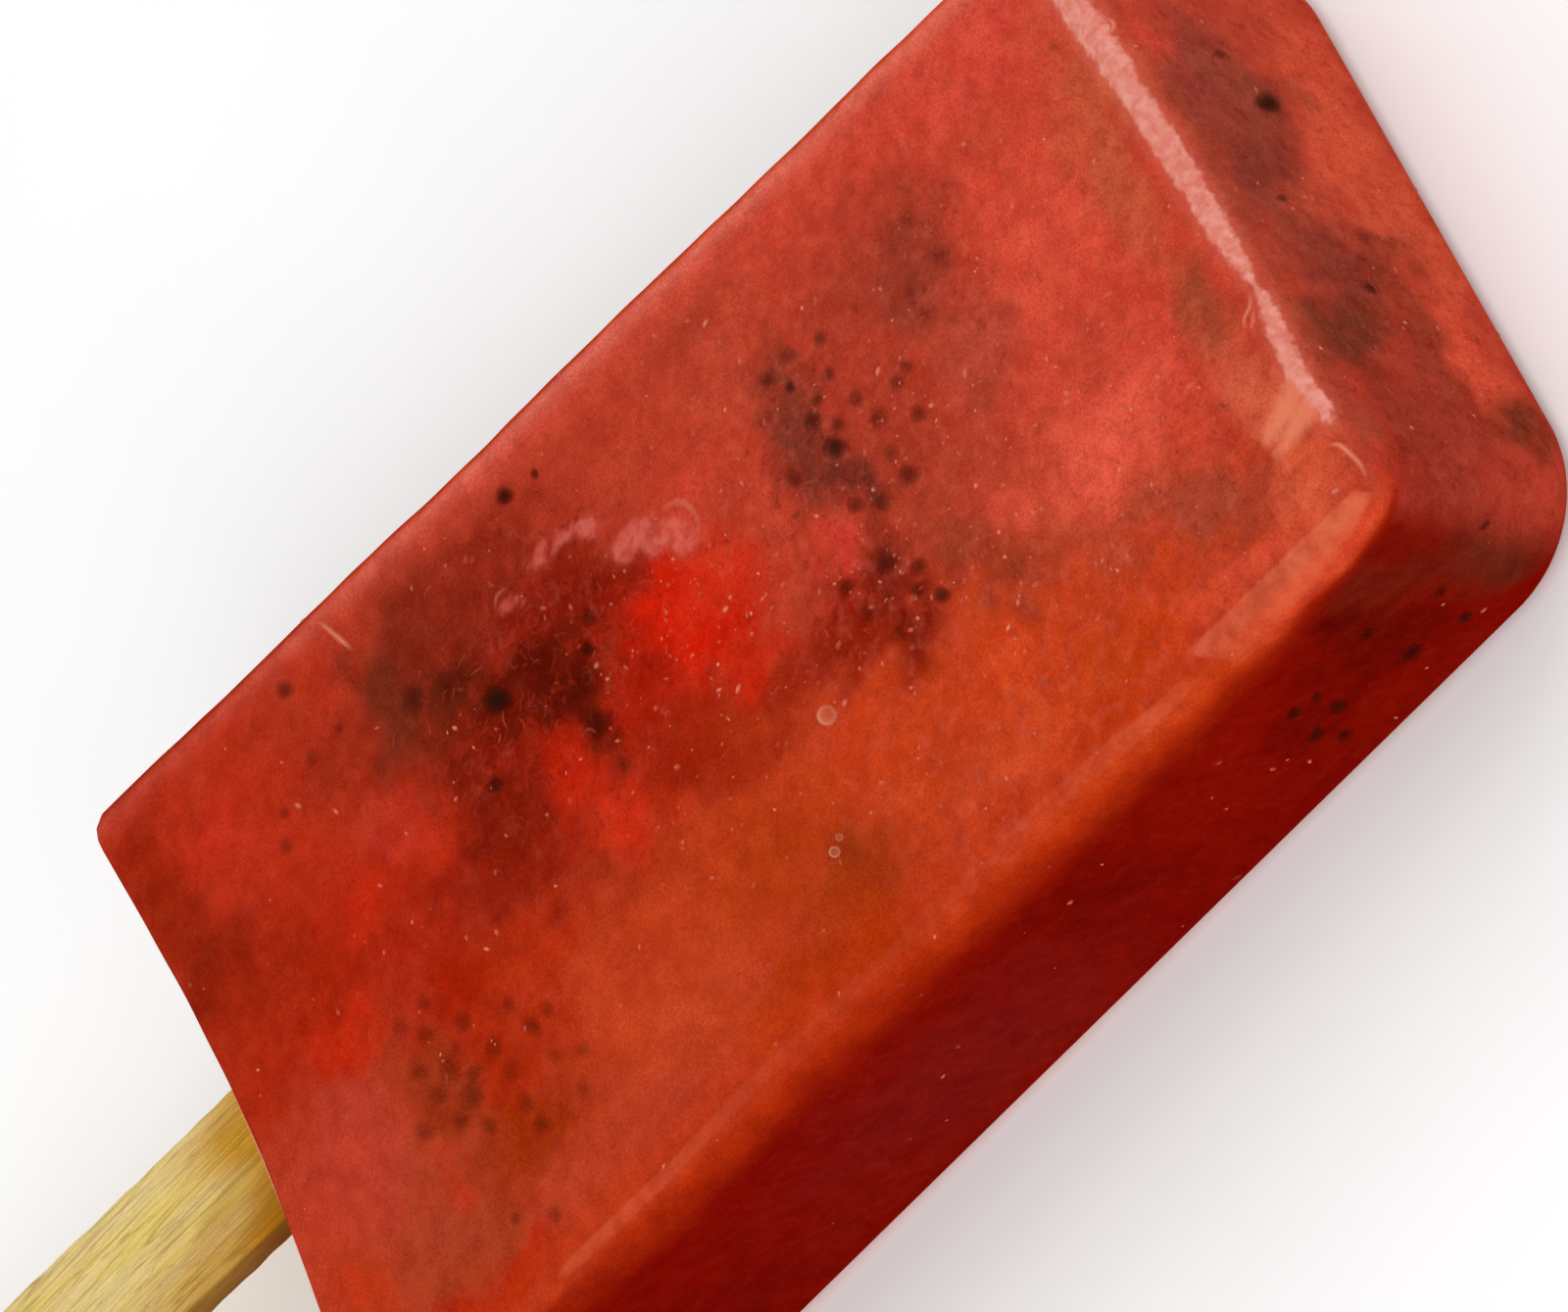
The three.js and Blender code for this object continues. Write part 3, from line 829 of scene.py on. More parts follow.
FACES = {  # the axes of a face's two coordinates, the axis through it, and which way it faces
    "front": ((0, 1), 2, 1),
    "back": ((0, 1), 2, -1),
    "tip": ((1, 2), 0, 1),
    "side": ((0, 2), 1, -1),
    "far": ((0, 2), 1, 1),
}
FAR_OFF = 200.0
GRAZING = 0.3  # a face that is turned away further than this is missed


def drape(tree, face, places):
    """Where places on one face of the block lie on its surface, and which way it faces there."""
    (first, second), through, way = FACES[face]
    toward = np.zeros(3)
    toward[through] = -way
    spots = np.full((len(places), 3), math.nan)
    normals = np.tile(-toward, (len(places), 1))
    for index, (u, v) in enumerate(places):
        start = np.zeros(3)
        start[first], start[second], start[through] = u, v, way * FAR_OFF
        spot, normal, _, _ = tree.ray_cast(Vector(start), Vector(toward))
        if spot is not None and normal[through] * way > GRAZING:
            spots[index], normals[index] = spot, normal
    return spots, normals


def draped(tree, face, u, v):
    """Where one place on a face lies, and which way the surface faces there."""
    spots, normals = drape(tree, face, [(u, v)])
    return spots[0], normals[0]


def line_depth(points, tree, line):
    """How deep points lie in a line of (x, y, half width) on the front, below 0 outside it."""
    spots, _ = drape(tree, "front", [(x, y) for x, y, _ in line])
    widths = [width for _, _, width in line]
    depth = np.full(len(points), -99.0)
    for start, end, start_width, end_width in zip(spots, spots[1:], widths, widths[1:]):
        along = end - start
        share = np.clip((points - start) @ along / (along @ along), 0, 1)
        away = np.linalg.norm(points - start - share[:, None] * along, axis=1)
        depth = np.maximum(depth, start_width + (end_width - start_width) * share - away)
    return depth


def deepest(points, tree, lines):
    """How deep points lie in whichever of several lines they are deepest in."""
    return np.max([line_depth(points, tree, line) for line in lines], axis=0)


def polygon_depth(points, corners):
    """How deep points lie in a polygon of (x, y) that has no hollow corners, below 0 outside it."""
    depth = np.full(len(points), 99.0)
    for (x0, y0), (x1, y1) in zip(corners, corners[1:] + corners[:1]):
        length = math.hypot(x1 - x0, y1 - y0)
        off = ((points[:, 0] - x0) * (y1 - y0) - (points[:, 1] - y0) * (x1 - x0)) / length
        depth = np.minimum(depth, off)
    return depth


def lens(rings, sides):
    """Points and faces of a flat round lens, and how far out each of its points is, 0 to 1."""
    points = [(0, 0, -1)]
    for ring in range(1, 2 * rings):
        reach = 1 - abs(ring / rings - 1)
        height = (1 - reach**2) * math.copysign(1, ring - rings) if ring != rings else 0
        for side in range(sides):
            angle = 2 * math.pi * side / sides
            points.append((reach * math.cos(angle), reach * math.sin(angle), height))
    points.append((0, 0, 1))
    points = np.array(points, float)
    return points, capped_faces(2 * rings, sides), np.hypot(points[:, 0], points[:, 1])


def capped_faces(rings, sides):
    """Faces of a closed shape made of one point, rings - 1 circles and another point."""
    last = 1 + (rings - 1) * sides
    faces = []
    for side in range(sides):
        after = (side + 1) % sides
        faces.append([0, 1 + after, 1 + side])
        faces.append([last, last - sides + side, last - sides + after])
        for ring in range(rings - 2):
            low = 1 + ring * sides
            faces.append([low + side, low + after, low + sides + after, low + sides + side])
    return faces


def joined(shapes):
    """Several meshes as one."""
    points, faces, total = [], [], 0
    for more_points, more_faces in shapes:
        points.append(more_points)
        faces.extend([[corner + total for corner in face] for face in more_faces])
        total += len(more_points)
    return np.vstack(points), faces


def heading(face, angle):
    """The direction at an angle from the first of a face's two axes."""
    (first, second), _, _ = FACES[face]
    direction = np.zeros(3)
    direction[first], direction[second] = math.cos(angle), math.sin(angle)
    return direction


def scattered(copies, shape):
    """Copies of a shape. Each has a spot, the way out of the ice there, its sizes and its heading.

    The sizes are along the heading, across it and outwards.
    """
    points, faces = shape
    shapes = []
    for spot, normal, (long, wide, tall), ahead in copies:
        out = normal / np.linalg.norm(normal)
        along = ahead - (ahead @ out) * out
        along /= np.linalg.norm(along)
        axes = np.array([along * long, np.cross(out, along) * wide, out * tall])
        shapes.append((points @ axes + spot, faces))
    return joined(shapes)


def make_soft(name, mesh, look, cover, smooth=True):
    """A piece in the surface of the ice, which shows as much as its cover says."""
    piece = make_piece(name, *mesh, cover_material(*look), "fruit_ice", smooth)
    store_number(piece, "cover", cover)


# ---- Seeds, specks, hairs and bubbles ----

# Groups of seeds: the face, how dark they look through the ice, and the place and radius of each.
SEEDS = [
    ("front", 0.6, [(48.7, 5.3, 0.65), (50.5, -7.1, 0.5)]),
    ("front", 0.5, [  # the ring of seeds in the middle of the block: the dark ones
        (48.0, 7.8, 0.6), (44.9, 5.9, 0.6), (52.4, 0.4, 0.6), (50.6, 9.4, 0.45), (47.7, 10.7, 0.35),
    ]),
    ("front", 0.36, [  # and the paler ones
        (46.4, 12.2, 0.45), (48.7, 12.3, 0.5), (51.2, 11.6, 0.5), (49.0, 8.7, 0.4), (49.5, 6.4, 0.5),
        (51.6, 6.7, 0.5), (52.3, 4.7, 0.6), (54.7, 5.6, 0.5), (55.8, 5.9, 0.45), (52.0, 2.3, 0.45),
        (55.0, 3.0, 0.5), (49.9, 0.3, 0.5), (48.0, 1.5, 0.5), (44.7, -2.1, 0.5), (45.2, -4.4, 0.5),
        (50.0, -4.6, 0.5), (49.0, -5.6, 0.4), (46.5, -7.0, 0.4), (48.0, -2.7, 0.75),
    ]),
    ("front", 0.18, [  # beside it, towards the tip
        (60.6, 13.0, 0.6), (58.5, 9.4, 0.4), (54.5, 11.4, 0.35), (61.4, 9.9, 0.6), (75.4, 14.5, 0.35),
    ]),
    ("front", 0.23, [  # the paler ring near the stick
        (-0.5, -2.5, 0.55), (1.9, -2.4, 0.45), (0.9, -4.1, 0.55), (4.0, -5.3, 0.6), (2.5, -6.3, 0.45),
        (-0.8, -5.8, 0.55), (1.4, -7.0, 0.75), (-0.2, -8.0, 0.5), (5.2, -8.1, 0.65), (7.8, -6.7, 0.5),
        (8.7, -8.8, 0.5), (10.4, -8.8, 0.5), (9.0, -9.5, 0.45), (2.1, -9.5, 0.8), (5.8, -10.2, 0.65),
        (0.4, -10.4, 0.5), (-2.4, -9.2, 0.6), (3.2, -8.5, 0.5), (2.3, -12.0, 0.55), (5.8, -12.6, 0.6),
        (9.4, -11.7, 0.5), (11.6, -12.7, 0.5), (6.2, -14.5, 0.6), (10.3, -14.7, 0.55), (4.0, -19.7, 0.5),
        (1.0, -18.0, 0.4),
    ]),
    ("front", 0.28, [  # single ones towards the far edge
        (2.3, 16.2, 0.5), (5.2, 16.3, 0.35), (-1.6, 14.7, 0.4), (-2.6, 12.8, 0.5),
    ]),
    ("front", 0.5, [(2.7, 21.2, 0.6)]),
    ("front", 0.5, [  # in the dark fruit
        (27.8, 19.3, 0.3), (26.6, 9.1, 0.45), (25.5, 7.5, 0.4), (14.5, 5.2, 0.5), (23.7, 3.2, 0.9),
    ]),
    ("front", 0.28, [(11.5, 13.9, 0.8), (14.6, 12.9, 0.9), (16.2, 12.6, 0.6), (24.2, 1.6, 0.6)]),
    ("front", 0.75, [(25.0, 19.7, 0.55)]),
    ("front", 1.1, [(17.5, 9.5, 0.8)]),
    ("tip", 0.9, [(7.5, 11.3, 0.8)]),
    ("tip", 0.45, [(11.0, 13.3, 0.45), (-6.4, 11.4, 0.45), (-0.1, 15.2, 0.35), (-21.7, 9.3, 0.3)]),
    ("side", 0.55, [
        (61.4, 11.6, 0.5), (59.5, 7.8, 0.6), (62.9, 11.0, 0.4), (62.2, 8.4, 0.6), (59.6, 5.3, 0.5),
        (73.0, 9.6, 0.4), (71.0, 5.4, 0.5), (67.5, 6.8, 0.7), (68.8, 12.1, 0.4),
    ]),
]
OTHER_FACE = {"front": "back", "side": "far"}  # the unseen faces have the same seeds, turned round
SEED_BLUR = 1.55  # how far a seed's soft edge reaches, as a share of its radius
SEED_RISE = 0.03
SEED_POINT = 0.25  # how much narrower a seed is at one end, and wider at the other
# Which way most seeds point on a face, in degrees, and how much longer than wide they are.
SEED_LEAN = {"front": (-39, 1.2), "back": (39, 1.2), "tip": (112, 1.7), "side": (54, 1.6),
             "far": (54, 1.6)}


def all_seeds():
    """Every seed's face, place, radius and darkness."""
    for face, darkness, seeds in SEEDS:
        for u, v, radius in seeds:
            yield face, u, v, radius, darkness
            if face in OTHER_FACE:
                other_v = -v if face == "front" else v
                yield OTHER_FACE[face], BASE_X + TIP_X - u, other_v, radius, darkness


def make_seeds(tree):
    rng = np.random.default_rng(7)
    points, faces, reach = lens(6, 14)
    points[:, 1] *= 1 - SEED_POINT * points[:, 0]
    copies, covers = [], []
    for face, u, v, radius, darkness in all_seeds():
        lean, stretch = SEED_LEAN[face]
        ahead = heading(face, math.radians(rng.normal(lean, 10)))
        blur = radius * SEED_BLUR
        stretch = math.sqrt(stretch * rng.uniform(0.85, 1.2))
        sizes = (blur * stretch, blur / stretch, SEED_RISE)
        copies.append((*draped(tree, face, u, v), sizes, ahead))
        covers.append(min(darkness * rng.uniform(0.75, 1.15), 1.0) * (1 - reach**2) ** 1.3)
    look = ("seed", (38, 16, 8), (58, 22, 12), 0.6)
    make_soft("seeds", scattered(copies, (points, faces)), look, np.concatenate(covers))


# Where specks gather: the face, how many, and the middle and the spread of their two coordinates.
SPECKS = [
    ("front", 340, (57, 12), (-4, 9)),
    ("front", 300, (30, 24), (2, 13)),
    ("front", 100, (33, 6), (4, 6)),
    ("back", 640, (32, 26), (0, 13)),
    ("tip", 80, (0, 12), (12, 5)),
    ("side", 30, (50, 22), (12, 6)),
    ("far", 60, (30, 26), (12, 6)),
]
SPECK_SIZE = 0.13  # half the width of a usual speck
LARGEST_SPECK = 0.24


def make_specks(tree):
    """Fine pale specks of air and fruit in the surface."""
    rng = np.random.default_rng(21)
    copies = []
    for face, count, (u, u_spread), (v, v_spread) in SPECKS:
        places = np.column_stack([rng.normal(u, u_spread, count), rng.normal(v, v_spread, count)])
        spots, normals = drape(tree, face, places)
        wide = np.minimum(rng.lognormal(math.log(SPECK_SIZE), 0.33, count), LARGEST_SPECK)
        sizes = np.column_stack([wide * rng.uniform(1.0, 2.0, count), wide, wide * 0.4])
        kept = np.isfinite(spots[:, 0])
        headings = [heading(face, angle) for angle in rng.uniform(0, math.pi, kept.sum())]
        copies += zip(spots[kept], normals[kept], sizes[kept], headings)
    points, faces, reach = lens(3, 8)
    fading = rng.beta(1.8, 2.0, len(copies))[:, None] * (1 - reach**2)
    look = ("pale_speck", (218, 92, 66), (234, 132, 104), 3.0)
    make_soft("specks", scattered(copies, (points, faces)), look, fading.ravel())


def curve_through(places, steps=5):
    """More places, on a smooth curve through the ones given."""
    places = np.array(places, float)
    ends = 2 * places[[0, -1]] - places[[1, -2]]
    knots = np.vstack([ends[:1], places, ends[1:]])
    share = np.linspace(0, 1, steps, endpoint=False)[:, None]
    stretches = []
    for before, start, end, after in zip(knots, knots[1:], knots[2:], knots[3:]):
        bow = (2 * before - 5 * start + 4 * end - after) * share**2
        twist = (3 * start - before - 3 * end + after) * share**3
        stretches.append(start + 0.5 * ((end - before) * share + bow + twist))
    return np.vstack([*stretches, places[-1:]])


THREAD_RISE = 0.035
THREAD_STEADY = 3  # over how many places to each side the way that a thread faces is evened out
THREAD_FLATNESS = 0.2  # how thick a thread is for its width


def thread(tree, face, places, radius):
    """A thin flat thread along places on a face, or nothing where it leaves the face.

    It fades towards its ends and its sides.
    """
    places = curve_through(places)
    spots, facing = drape(tree, face, places)
    spans = [facing[max(index - THREAD_STEADY, 0):index + THREAD_STEADY + 1]
             for index in range(len(facing))]
    normals = np.array([span.mean(0) for span in spans])
    normals /= np.linalg.norm(normals, axis=1, keepdims=True)
    spots = spots + THREAD_RISE * normals
    if not np.isfinite(spots).all():
        return []
    points, cover = [], []
    last = len(places) - 1
    for index in range(last + 1):
        ahead = spots[min(index + 1, last)] - spots[max(index - 1, 0)]
        across = np.cross(normals[index], ahead)
        across /= np.linalg.norm(across)
        fullness = 1 - abs(2 * index / last - 1) ** 3
        width = radius * (0.4 + 0.6 * fullness)
        for corner in range(4):
            turn = math.pi / 2 * corner
            offset = math.cos(turn) * across + THREAD_FLATNESS * math.sin(turn) * normals[index]
            points.append(spots[index] + width * offset)
            cover.append(fullness * max(math.sin(turn), 0))
    faces = [[3, 2, 1, 0], [4 * last, 4 * last + 1, 4 * last + 2, 4 * last + 3]]
    for low in range(0, 4 * last, 4):
        for corner in range(4):
            after = (corner + 1) % 4
            faces.append([low + corner, low + after, low + 4 + after, low + 4 + corner])
    return [(np.array(points), faces, cover)]


# Where hairs gather, as for the specks, with the way that most of them lie.
PALE_HAIRS = [
    ("front", 36, (22, 9), (10, 6), 0.9),
    ("front", 40, (50, 12), (-2, 9), 2.2),
    ("front", 44, (69, 6), (-11, 5), -0.5),
    ("front", 16, (20, 22), (-6, 9), 1.2),
    ("back", 70, (30, 24), (0, 12), 0.9),
    ("tip", 20, (-6, 9), (14, 4), 0.6),
]
RED_HAIRS = [
    ("front", 80, (19, 7), (6, 6), 1.0),
    ("front", 30, (44, 6), (2, 8), 1.8),
    ("back", 60, (40, 10), (-6, 8), 1.0),
]
HAIR_WIDTHS = (0.09, 0.16)  # the least and the most half a hair's width is
# Longer threads: the half width of each, how much it shows and its places on the front.
LONG_THREADS = [
    (0.3, 0.75, [(7.6, 23.0), (8.2, 21.6), (9.1, 19.6)]),  # a scratch by the far ridge
    (0.24, 0.7, [(78.9, -6.6), (78.5, -7.4), (77.8, -7.8), (77.5, -8.4)]),  # frost that has crept
    (0.22, 0.6, [(78.7, -7.6), (78.2, -8.3), (77.9, -8.6)]),
    (0.26, 0.8, [(78.5, -17.5), (79.0, -17.8), (79.25, -18.6), (79.4, -19.5), (79.35, -20.6)]),
    (0.2, 0.6, [(77.2, -19.9), (77.9, -20.1)]),
    (0.24, 0.8, [(79.0, 12.3), (79.4, 12.8), (79.3, 13.5)]),
    (0.32, 0.28, [(35.1, 10.8), (36.3, 10.6), (37.1, 9.8), (37.3, 8.5), (36.4, 7.3)]),  # skins of fruit
    (0.22, 0.28, [(20.4, 14.2), (21.0, 14.9), (22.0, 14.9)]),
    # a painted highlight on the rim of ice over the stick
    (0.24, 1.0, [(-15.34, 2.6), (-15.37, -0.6), (-15.42, -2.4), (-15.5, -4.2), (-15.62, -6.2)]),
]


def hair_shapes(tree, groups, rng):
    """Short crooked threads, strewn about the groups' places."""
    shapes = []
    for face, count, (u, u_spread), (v, v_spread), lean in groups:
        for _ in range(count):
            place = np.array([rng.normal(u, u_spread), rng.normal(v, v_spread)])
            turn = rng.normal(lean, 0.9)
            stride = rng.uniform(0.15, 0.5)
            places = [place]
            for _ in range(3):
                place = place + stride * np.array([math.cos(turn), math.sin(turn)])
                turn += rng.normal(0, 0.6)
                places.append(place)
            shapes += thread(tree, face, places, rng.uniform(*HAIR_WIDTHS))
    return shapes


def make_threads(name, shapes, dark, light, share):
    mesh = joined([(points, faces) for points, faces, _ in shapes])
    cover = share * np.concatenate([cover for _, _, cover in shapes])
    make_soft(name, mesh, (name, dark, light, 3.0), cover, smooth=False)


def make_hairs(tree):
    pale = hair_shapes(tree, PALE_HAIRS, np.random.default_rng(33))
    make_threads("pale_hairs", pale, (206, 72, 48), (226, 104, 76), 0.26)
    red = hair_shapes(tree, RED_HAIRS, np.random.default_rng(34))
    make_threads("red_hairs", red, (186, 30, 14), (208, 56, 32), 0.28)
    longer = []
    for radius, share, places in LONG_THREADS:
        for points, faces, cover in thread(tree, "front", places, radius):
            longer.append((points, faces, share * np.array(cover)))
    make_threads("frost_and_glint_threads", longer, (232, 124, 98), (238, 144, 118), 1.0)


# On the front: the place and the radius of each.
BUBBLES = [(39.2, -7.6, 0.8), (35.1, -14.7, 0.45), (35.9, -14.2, 0.3)]
BUBBLE_RISE = 0.05
BUBBLE_RIM = (0.78, 0.2)  # where the pale rim of painted highlight lies and how wide it is, as shares of the radius


def make_bubbles(tree):
    """Round bubbles whose pale rim, a painted highlight that is brighter on the lit side, shows in the
    ice.
    """
    points, faces, reach = lens(10, 28)
    lit_side = 0.5 - 0.5 * points[:, 0]
    rim_reach, rim_width = BUBBLE_RIM
    rim = np.exp(-(((reach - rim_reach) / rim_width) ** 2)) * (1 - reach**10) * (0.25 + 0.75 * lit_side)
    cover = np.clip(0.22 * (1 - reach**6) + 0.6 * rim, 0, 1)
    ahead = heading("front", math.radians(-39))
    copies = []
    for u, v, radius in BUBBLES:
        sizes = (radius * 1.15, radius * 0.87, BUBBLE_RISE)
        copies.append((*draped(tree, "front", u, v), sizes, ahead))
    look = ("bubble", (218, 112, 80), (232, 150, 118), 2.0)
    make_soft("bubbles", scattered(copies, (points, faces)), look, np.tile(cover, len(copies)))


# ---- The block of ice ----

# Frost along the tip, as x, y and half width. It thins out once and ends short of the near corner.
FROST = [
    (77.3, 20.2, 0.3), (77.7, 18.0, 0.95), (78.0, 15.0, 1.05), (78.4, 10.7, 0.95), (78.5, 8.0, 0.78),
    (78.7, 5.5, 0.85), (78.85, 2.4, 0.8), (79.0, -1.3, 0.75), (79.1, -4.0, 0.6), (79.2, -5.6, 0.35),
    (79.3, -6.4, 0.12), (79.3, -7.6, 0.45), (79.15, -9.6, 0.58), (79.0, -11.6, 0.58),
    (78.9, -12.8, 0.62), (79.1, -13.8, 0.5), (79.25, -15.0, 0.55), (79.2, -16.1, 0.32),
]
FROST_SPOT = [(78.9, 17.2, 0.12), (79.4, 16.2, 0.16)]
VEIL = [(78.7, -13.1, 0.8), (77.5, -13.9, 1.0), (75.4, -14.5, 0.5)]
VEIL_TAIL = [(78.6, -14.7, 0.9), (77.3, -15.1, 0.8), (75.4, -15.8, 0.35)]
FROST_RISE = 0.12
RIDGE_HIGHLIGHT_RISE = 0.03

# A painted highlight along the near ridge, a band of reflected light in its rounded edge: a long strip,
# and a patch by the tip.
RIDGE_HIGHLIGHT = [
    (2.2, -23.0, 0.25), (4.0, -23.05, 0.5), (12.0, -23.0, 0.5), (16.0, -22.8, 0.45), (20.0, -22.5, 0.5),
    (28.0, -22.3, 0.5), (36.0, -22.35, 0.5), (44.0, -22.2, 0.55), (52.0, -22.2, 0.6), (58.0, -22.5, 0.6),
    (62.0, -22.5, 0.45), (63.4, -22.5, 0.1),
]
RIDGE_HIGHLIGHT_PATCH = [(63.4, -21.0), (78.6, -20.7), (79.3, -21.4), (77.4, -22.3), (73.0, -22.9), (65.5, -23.05)]
RIDGE_HIGHLIGHT_STOPS = (0, 4, 18, 24, 40, 52, 58, 64, 80)  # x along the ridge
RIDGE_HIGHLIGHT_SHARES = (0.24, 0.32, 0.2, 0.06, 0.06, 0.12, 0.28, 0.28, 0.52)  # how much it shows there

# Patches of pale flesh on the front: middle, radii, turn in degrees, strength.
FLESH = [
    (32.0, 10.8, 1.6, 1.0, -15, 1.0), (33.6, 9.9, 1.7, 1.1, -38, 1.0), (35.2, 8.5, 1.6, 1.0, -50, 0.9),
    (36.5, 9.3, 0.7, 1.2, 20, 0.35), (27.0, 14.5, 1.3, 0.45, -14, 0.7), (29.4, 13.8, 1.6, 0.75, -22, 0.95),
    (21.6, 13.6, 1.1, 0.6, -12, 0.85), (24.9, 15.2, 0.8, 0.45, 10, 0.8), (20.0, 18.5, 0.6, 0.3, -30, 0.7),
]

# Where fibres of pulp show: middle, radii, turn in degrees, strength, on the front.
FIBROUS = [
    (22, 8, 13, 12, 0, 1.0), (44, 3, 9, 12, 0, 0.7), (70, -12, 9, 8, 0, 0.6), (60, 10, 7, 8, 0, 0.5),
]


def oval_cover(points, ovals, seed):
    """The strongest of a list of ragged ovals on the front, at each point."""
    bent_x = points[:, 0] + 0.3 * waves(points, 1.2, seed)
    bent_y = points[:, 1] + 0.3 * waves(points, 1.2, seed + 1)
    cover = np.zeros(len(points))
    for u, v, long, wide, turn, strength in ovals:
        oval = strength * cloud(bent_x - u, bent_y - v, long, wide, turn)
        cover = np.maximum(cover, oval)
    return cover


def make_ice():
    """The block of ice. Returns a tree that things are draped on."""
    points, faces = block_shape()
    tree = BVHTree.FromPolygons(points.tolist(), faces)
    normals = normals_of(points, faces)
    on_front = step(0.1, 0.5, normals[:, 2])
    frost = np.maximum(deepest(points, tree, (FROST, FROST_SPOT)), -3)
    # Where the painted highlight along the near ridge lies.
    strip = line_depth(points, tree, RIDGE_HIGHLIGHT)
    patch = np.where(normals[:, 2] > 0.02, polygon_depth(points, RIDGE_HIGHLIGHT_PATCH), -3)
    ridge_highlight = np.clip(np.maximum(strip, patch), -3, 3)
    veil = deepest(points, tree, (VEIL, VEIL_TAIL))
    crust = step(-0.15, 0.35, frost) * (1 + 0.35 * waves(points, 0.9, 77))
    points = points + normals * (FROST_RISE * crust + RIDGE_HIGHLIGHT_RISE * step(-0.1, 0.2, ridge_highlight))[:, None]
    ice = make_piece("ice", points, faces, ice_material(), "fruit_ice")
    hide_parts("ice_block")
    store_colour(ice, "paint", lit(pulp_colour(points, normals), normals))
    store_number(ice, "frost", frost)
    store_number(ice, "ridge_highlight", ridge_highlight)
    # How strongly the painted ridge highlight shows along the ridge.
    ridge_highlight_share = np.interp(points[:, 0], RIDGE_HIGHLIGHT_STOPS, RIDGE_HIGHLIGHT_SHARES)
    store_number(ice, "ridge_highlight_share", ridge_highlight_share * (1 - 0.4 * step(-21.3, -23.2, points[:, 1])))
    store_number(ice, "veil", step(-0.9, 0.9, veil) * on_front)
    store_number(ice, "flesh", oval_cover(points, FLESH, 700) * on_front)
    fibrous = oval_cover(points, FIBROUS, 710) * on_front
    behind = oval_cover(turned(points), FIBROUS, 720) * step(0.1, 0.5, -normals[:, 2])
    on_tip = 0.45 * step(0.5, 0.9, np.abs(normals[:, 0]))
    store_number(ice, "pulp", np.clip(0.15 + fibrous + behind + on_tip, 0, 1))
    clear = 1 - step(0.4, 0.9, np.abs(normals[:, 1]))
    hazy = np.where(np.abs(normals[:, 2]) > 0.7, 0.15 + 0.85 * step(34, 46, points[:, 0]), 0.5)
    store_number(ice, "haze", clear * hazy)
    return BVHTree.FromPolygons(points.tolist(), faces)


# ---- The stick ----


def make_stick():
    corner = STICK_WIDTH / 2 - STICK_EDGE
    reach, rise = STICK_LENGTH / 2, STICK_THICKNESS / 2
    points, faces = slab(
        (-reach, reach), STICK_WIDTH / 2, (-rise, rise),
        (STICK_EDGE, STICK_EDGE), (corner, corner, corner), STICK_GRID,
    )
    normals = normals_of(points, faces)
    grooves = layered_waves(points * (0.06, 1, 1), STICK_GROOVES)
    rough_edge = STICK_ROUGHNESS * waves(points, 1.8, 64) * np.abs(normals[:, 1])
    points = points + normals * (grooves + rough_edge)[:, None]
    on_side = step(0.35, 0.8, -normals[:, 1])
    from_near_edge = points[:, 1] + STICK_WIDTH / 2
    depth = 0.5 - points[:, 2] / STICK_THICKNESS
    turn = Matrix.Rotation(STICK_YAW, 3, "Z") @ Matrix.Rotation(STICK_PITCH, 3, "Y")
    middle = turn @ Vector((STICK_DEPTH - STICK_LENGTH / 2, 0, 0))
    middle += Vector((BASE_X, STICK_SIDEWAYS, STICK_HEIGHT))
    points = points @ np.array(turn).T + np.array(middle)
    stick = make_piece("birch_stick", points, faces, wood_material(), "stick_wood")
    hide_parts("stick")
    from_ice = BASE_X + BASE_HOLLOW - points[:, 0] + 1.2 * waves(points * (0.3, 1, 1), 1.5, 63)
    store_number(stick, "damp", 1 - step(9.0, 20.0, from_ice))
    soaked = (1 - 0.4 * step(8.0, 26.0, from_ice)) * (1 - step(-0.5, 6.2, from_near_edge))
    store_number(stick, "soaked", soaked)
    # Painted shade on the near side of the stick, stronger towards its lower face and near the ice.
    store_number(stick, "side_shade", on_side * (0.65 + 0.35 * depth) * (1 - 0.2 * step(4.0, 16.0, from_ice)))


# ---- Camera, lights and floor ----

AIM = Vector((29.142, 4.883, 10.0)) * MM
CAMERA_DISTANCE = 0.52306
CAMERA_AZIMUTH = math.radians(51.028)
CAMERA_ELEVATION = math.radians(46.377)
CAMERA_ROLL = math.radians(-86.752)
LENS = 193.745
SENSOR_WIDTH = 36
FLOOR_REACH = 3.0  # from the middle of the floor to its edges, in metres


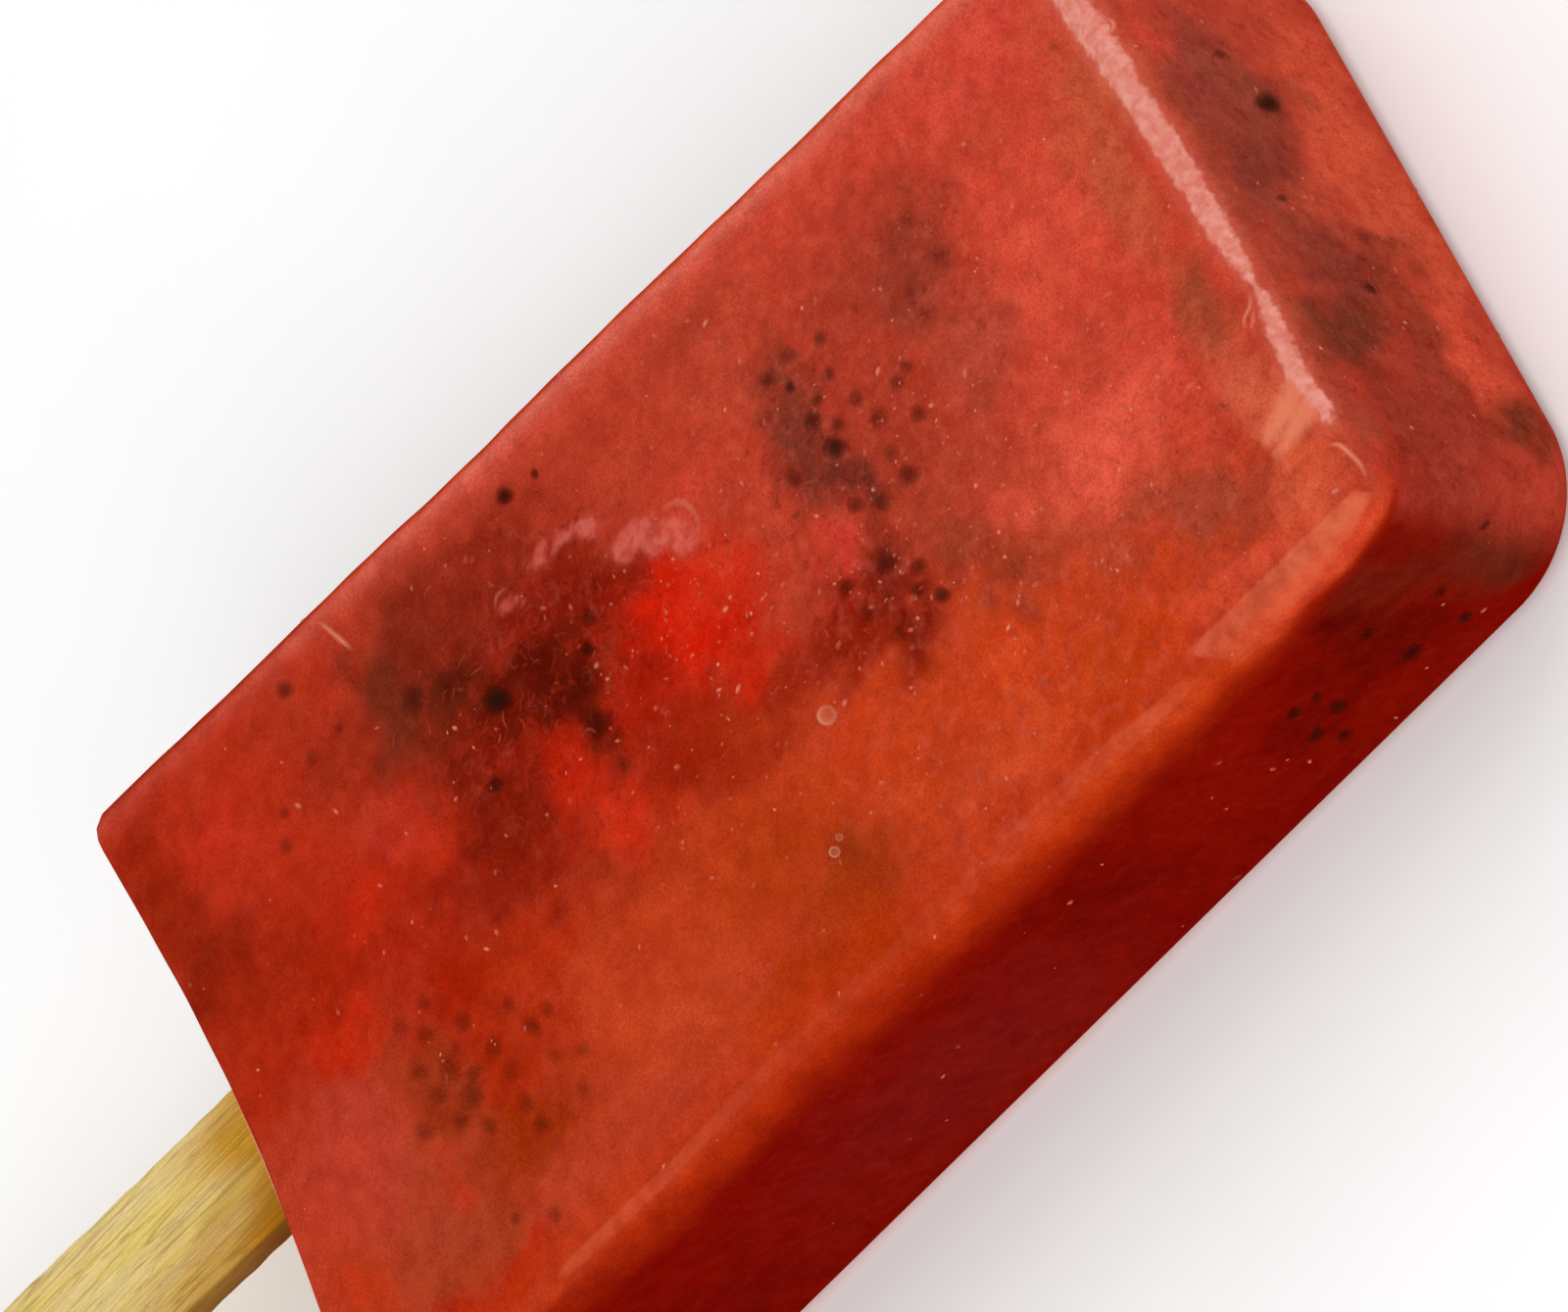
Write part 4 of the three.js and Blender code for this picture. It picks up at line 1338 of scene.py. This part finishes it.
def make_camera():
    data = bpy.data.cameras.new("camera")
    data.lens = LENS
    data.sensor_width = SENSOR_WIDTH
    camera = add_object("camera", data)
    back = Vector((math.sin(CAMERA_AZIMUTH) * math.cos(CAMERA_ELEVATION),
                   -math.cos(CAMERA_AZIMUTH) * math.cos(CAMERA_ELEVATION),
                   math.sin(CAMERA_ELEVATION)))
    level = Vector((0, 0, 1)).cross(back).normalized()
    upright = back.cross(level)
    right = level * math.cos(CAMERA_ROLL) + upright * math.sin(CAMERA_ROLL)
    up = back.cross(right)
    turn = Matrix((right, up, back)).transposed().to_4x4()
    camera.matrix_world = Matrix.Translation(AIM + back * CAMERA_DISTANCE) @ turn
    bpy.context.scene.camera = camera


def area_light(name, direction, distance, size, power):
    """A soft square light that looks at the pop from a direction."""
    data = bpy.data.lights.new(name, "AREA")
    data.size = size
    data.energy = power
    light = add_object(name, data)
    toward = Vector(direction).normalized()
    light.location = AIM + toward * distance
    light.rotation_mode = "QUATERNION"
    light.rotation_quaternion = toward.to_track_quat("Z", "Y")


def make_stage():
    world = bpy.data.worlds.new("studio")
    world.use_nodes = True
    world.node_tree.nodes["Background"].inputs["Color"].default_value = (1, 1, 1, 1)
    world.node_tree.nodes["Background"].inputs["Strength"].default_value = 0.8
    bpy.context.scene.world = world
    area_light("key", (0.25, 0.55, 1.0), 0.9, 0.9, 2.0)
    area_light("fill", (0.55, -1.0, 0.8), 0.9, 0.9, 3.0)
    shader = Shader("pale_floor")
    tone = shader.spread(shader.noise(40.0), 0.3, 0.7)
    colour = shader.blend(tone, (0.92, 0.92, 0.92, 1), (0.94, 0.94, 0.94, 1))
    material = shader.finish(shader.principled(colour, 0.9, 0.0))
    mesh = bpy.data.meshes.new("floor")
    corners = [(-1, -1, 0), (1, -1, 0), (1, 1, 0), (-1, 1, 0)]
    mesh.from_pydata([(x * FLOOR_REACH, y * FLOOR_REACH, z) for x, y, z in corners], [], [(0, 1, 2, 3)])
    mesh.materials.append(material)
    add_object("floor", mesh)


make_camera()
make_stage()
ice_tree = make_ice()
make_stick()
make_seeds(ice_tree)
make_specks(ice_tree)
make_hairs(ice_tree)
make_bubbles(ice_tree)

bpy.context.scene.view_settings.view_transform = "Standard"
bpy.context.scene.cycles.use_denoising = True
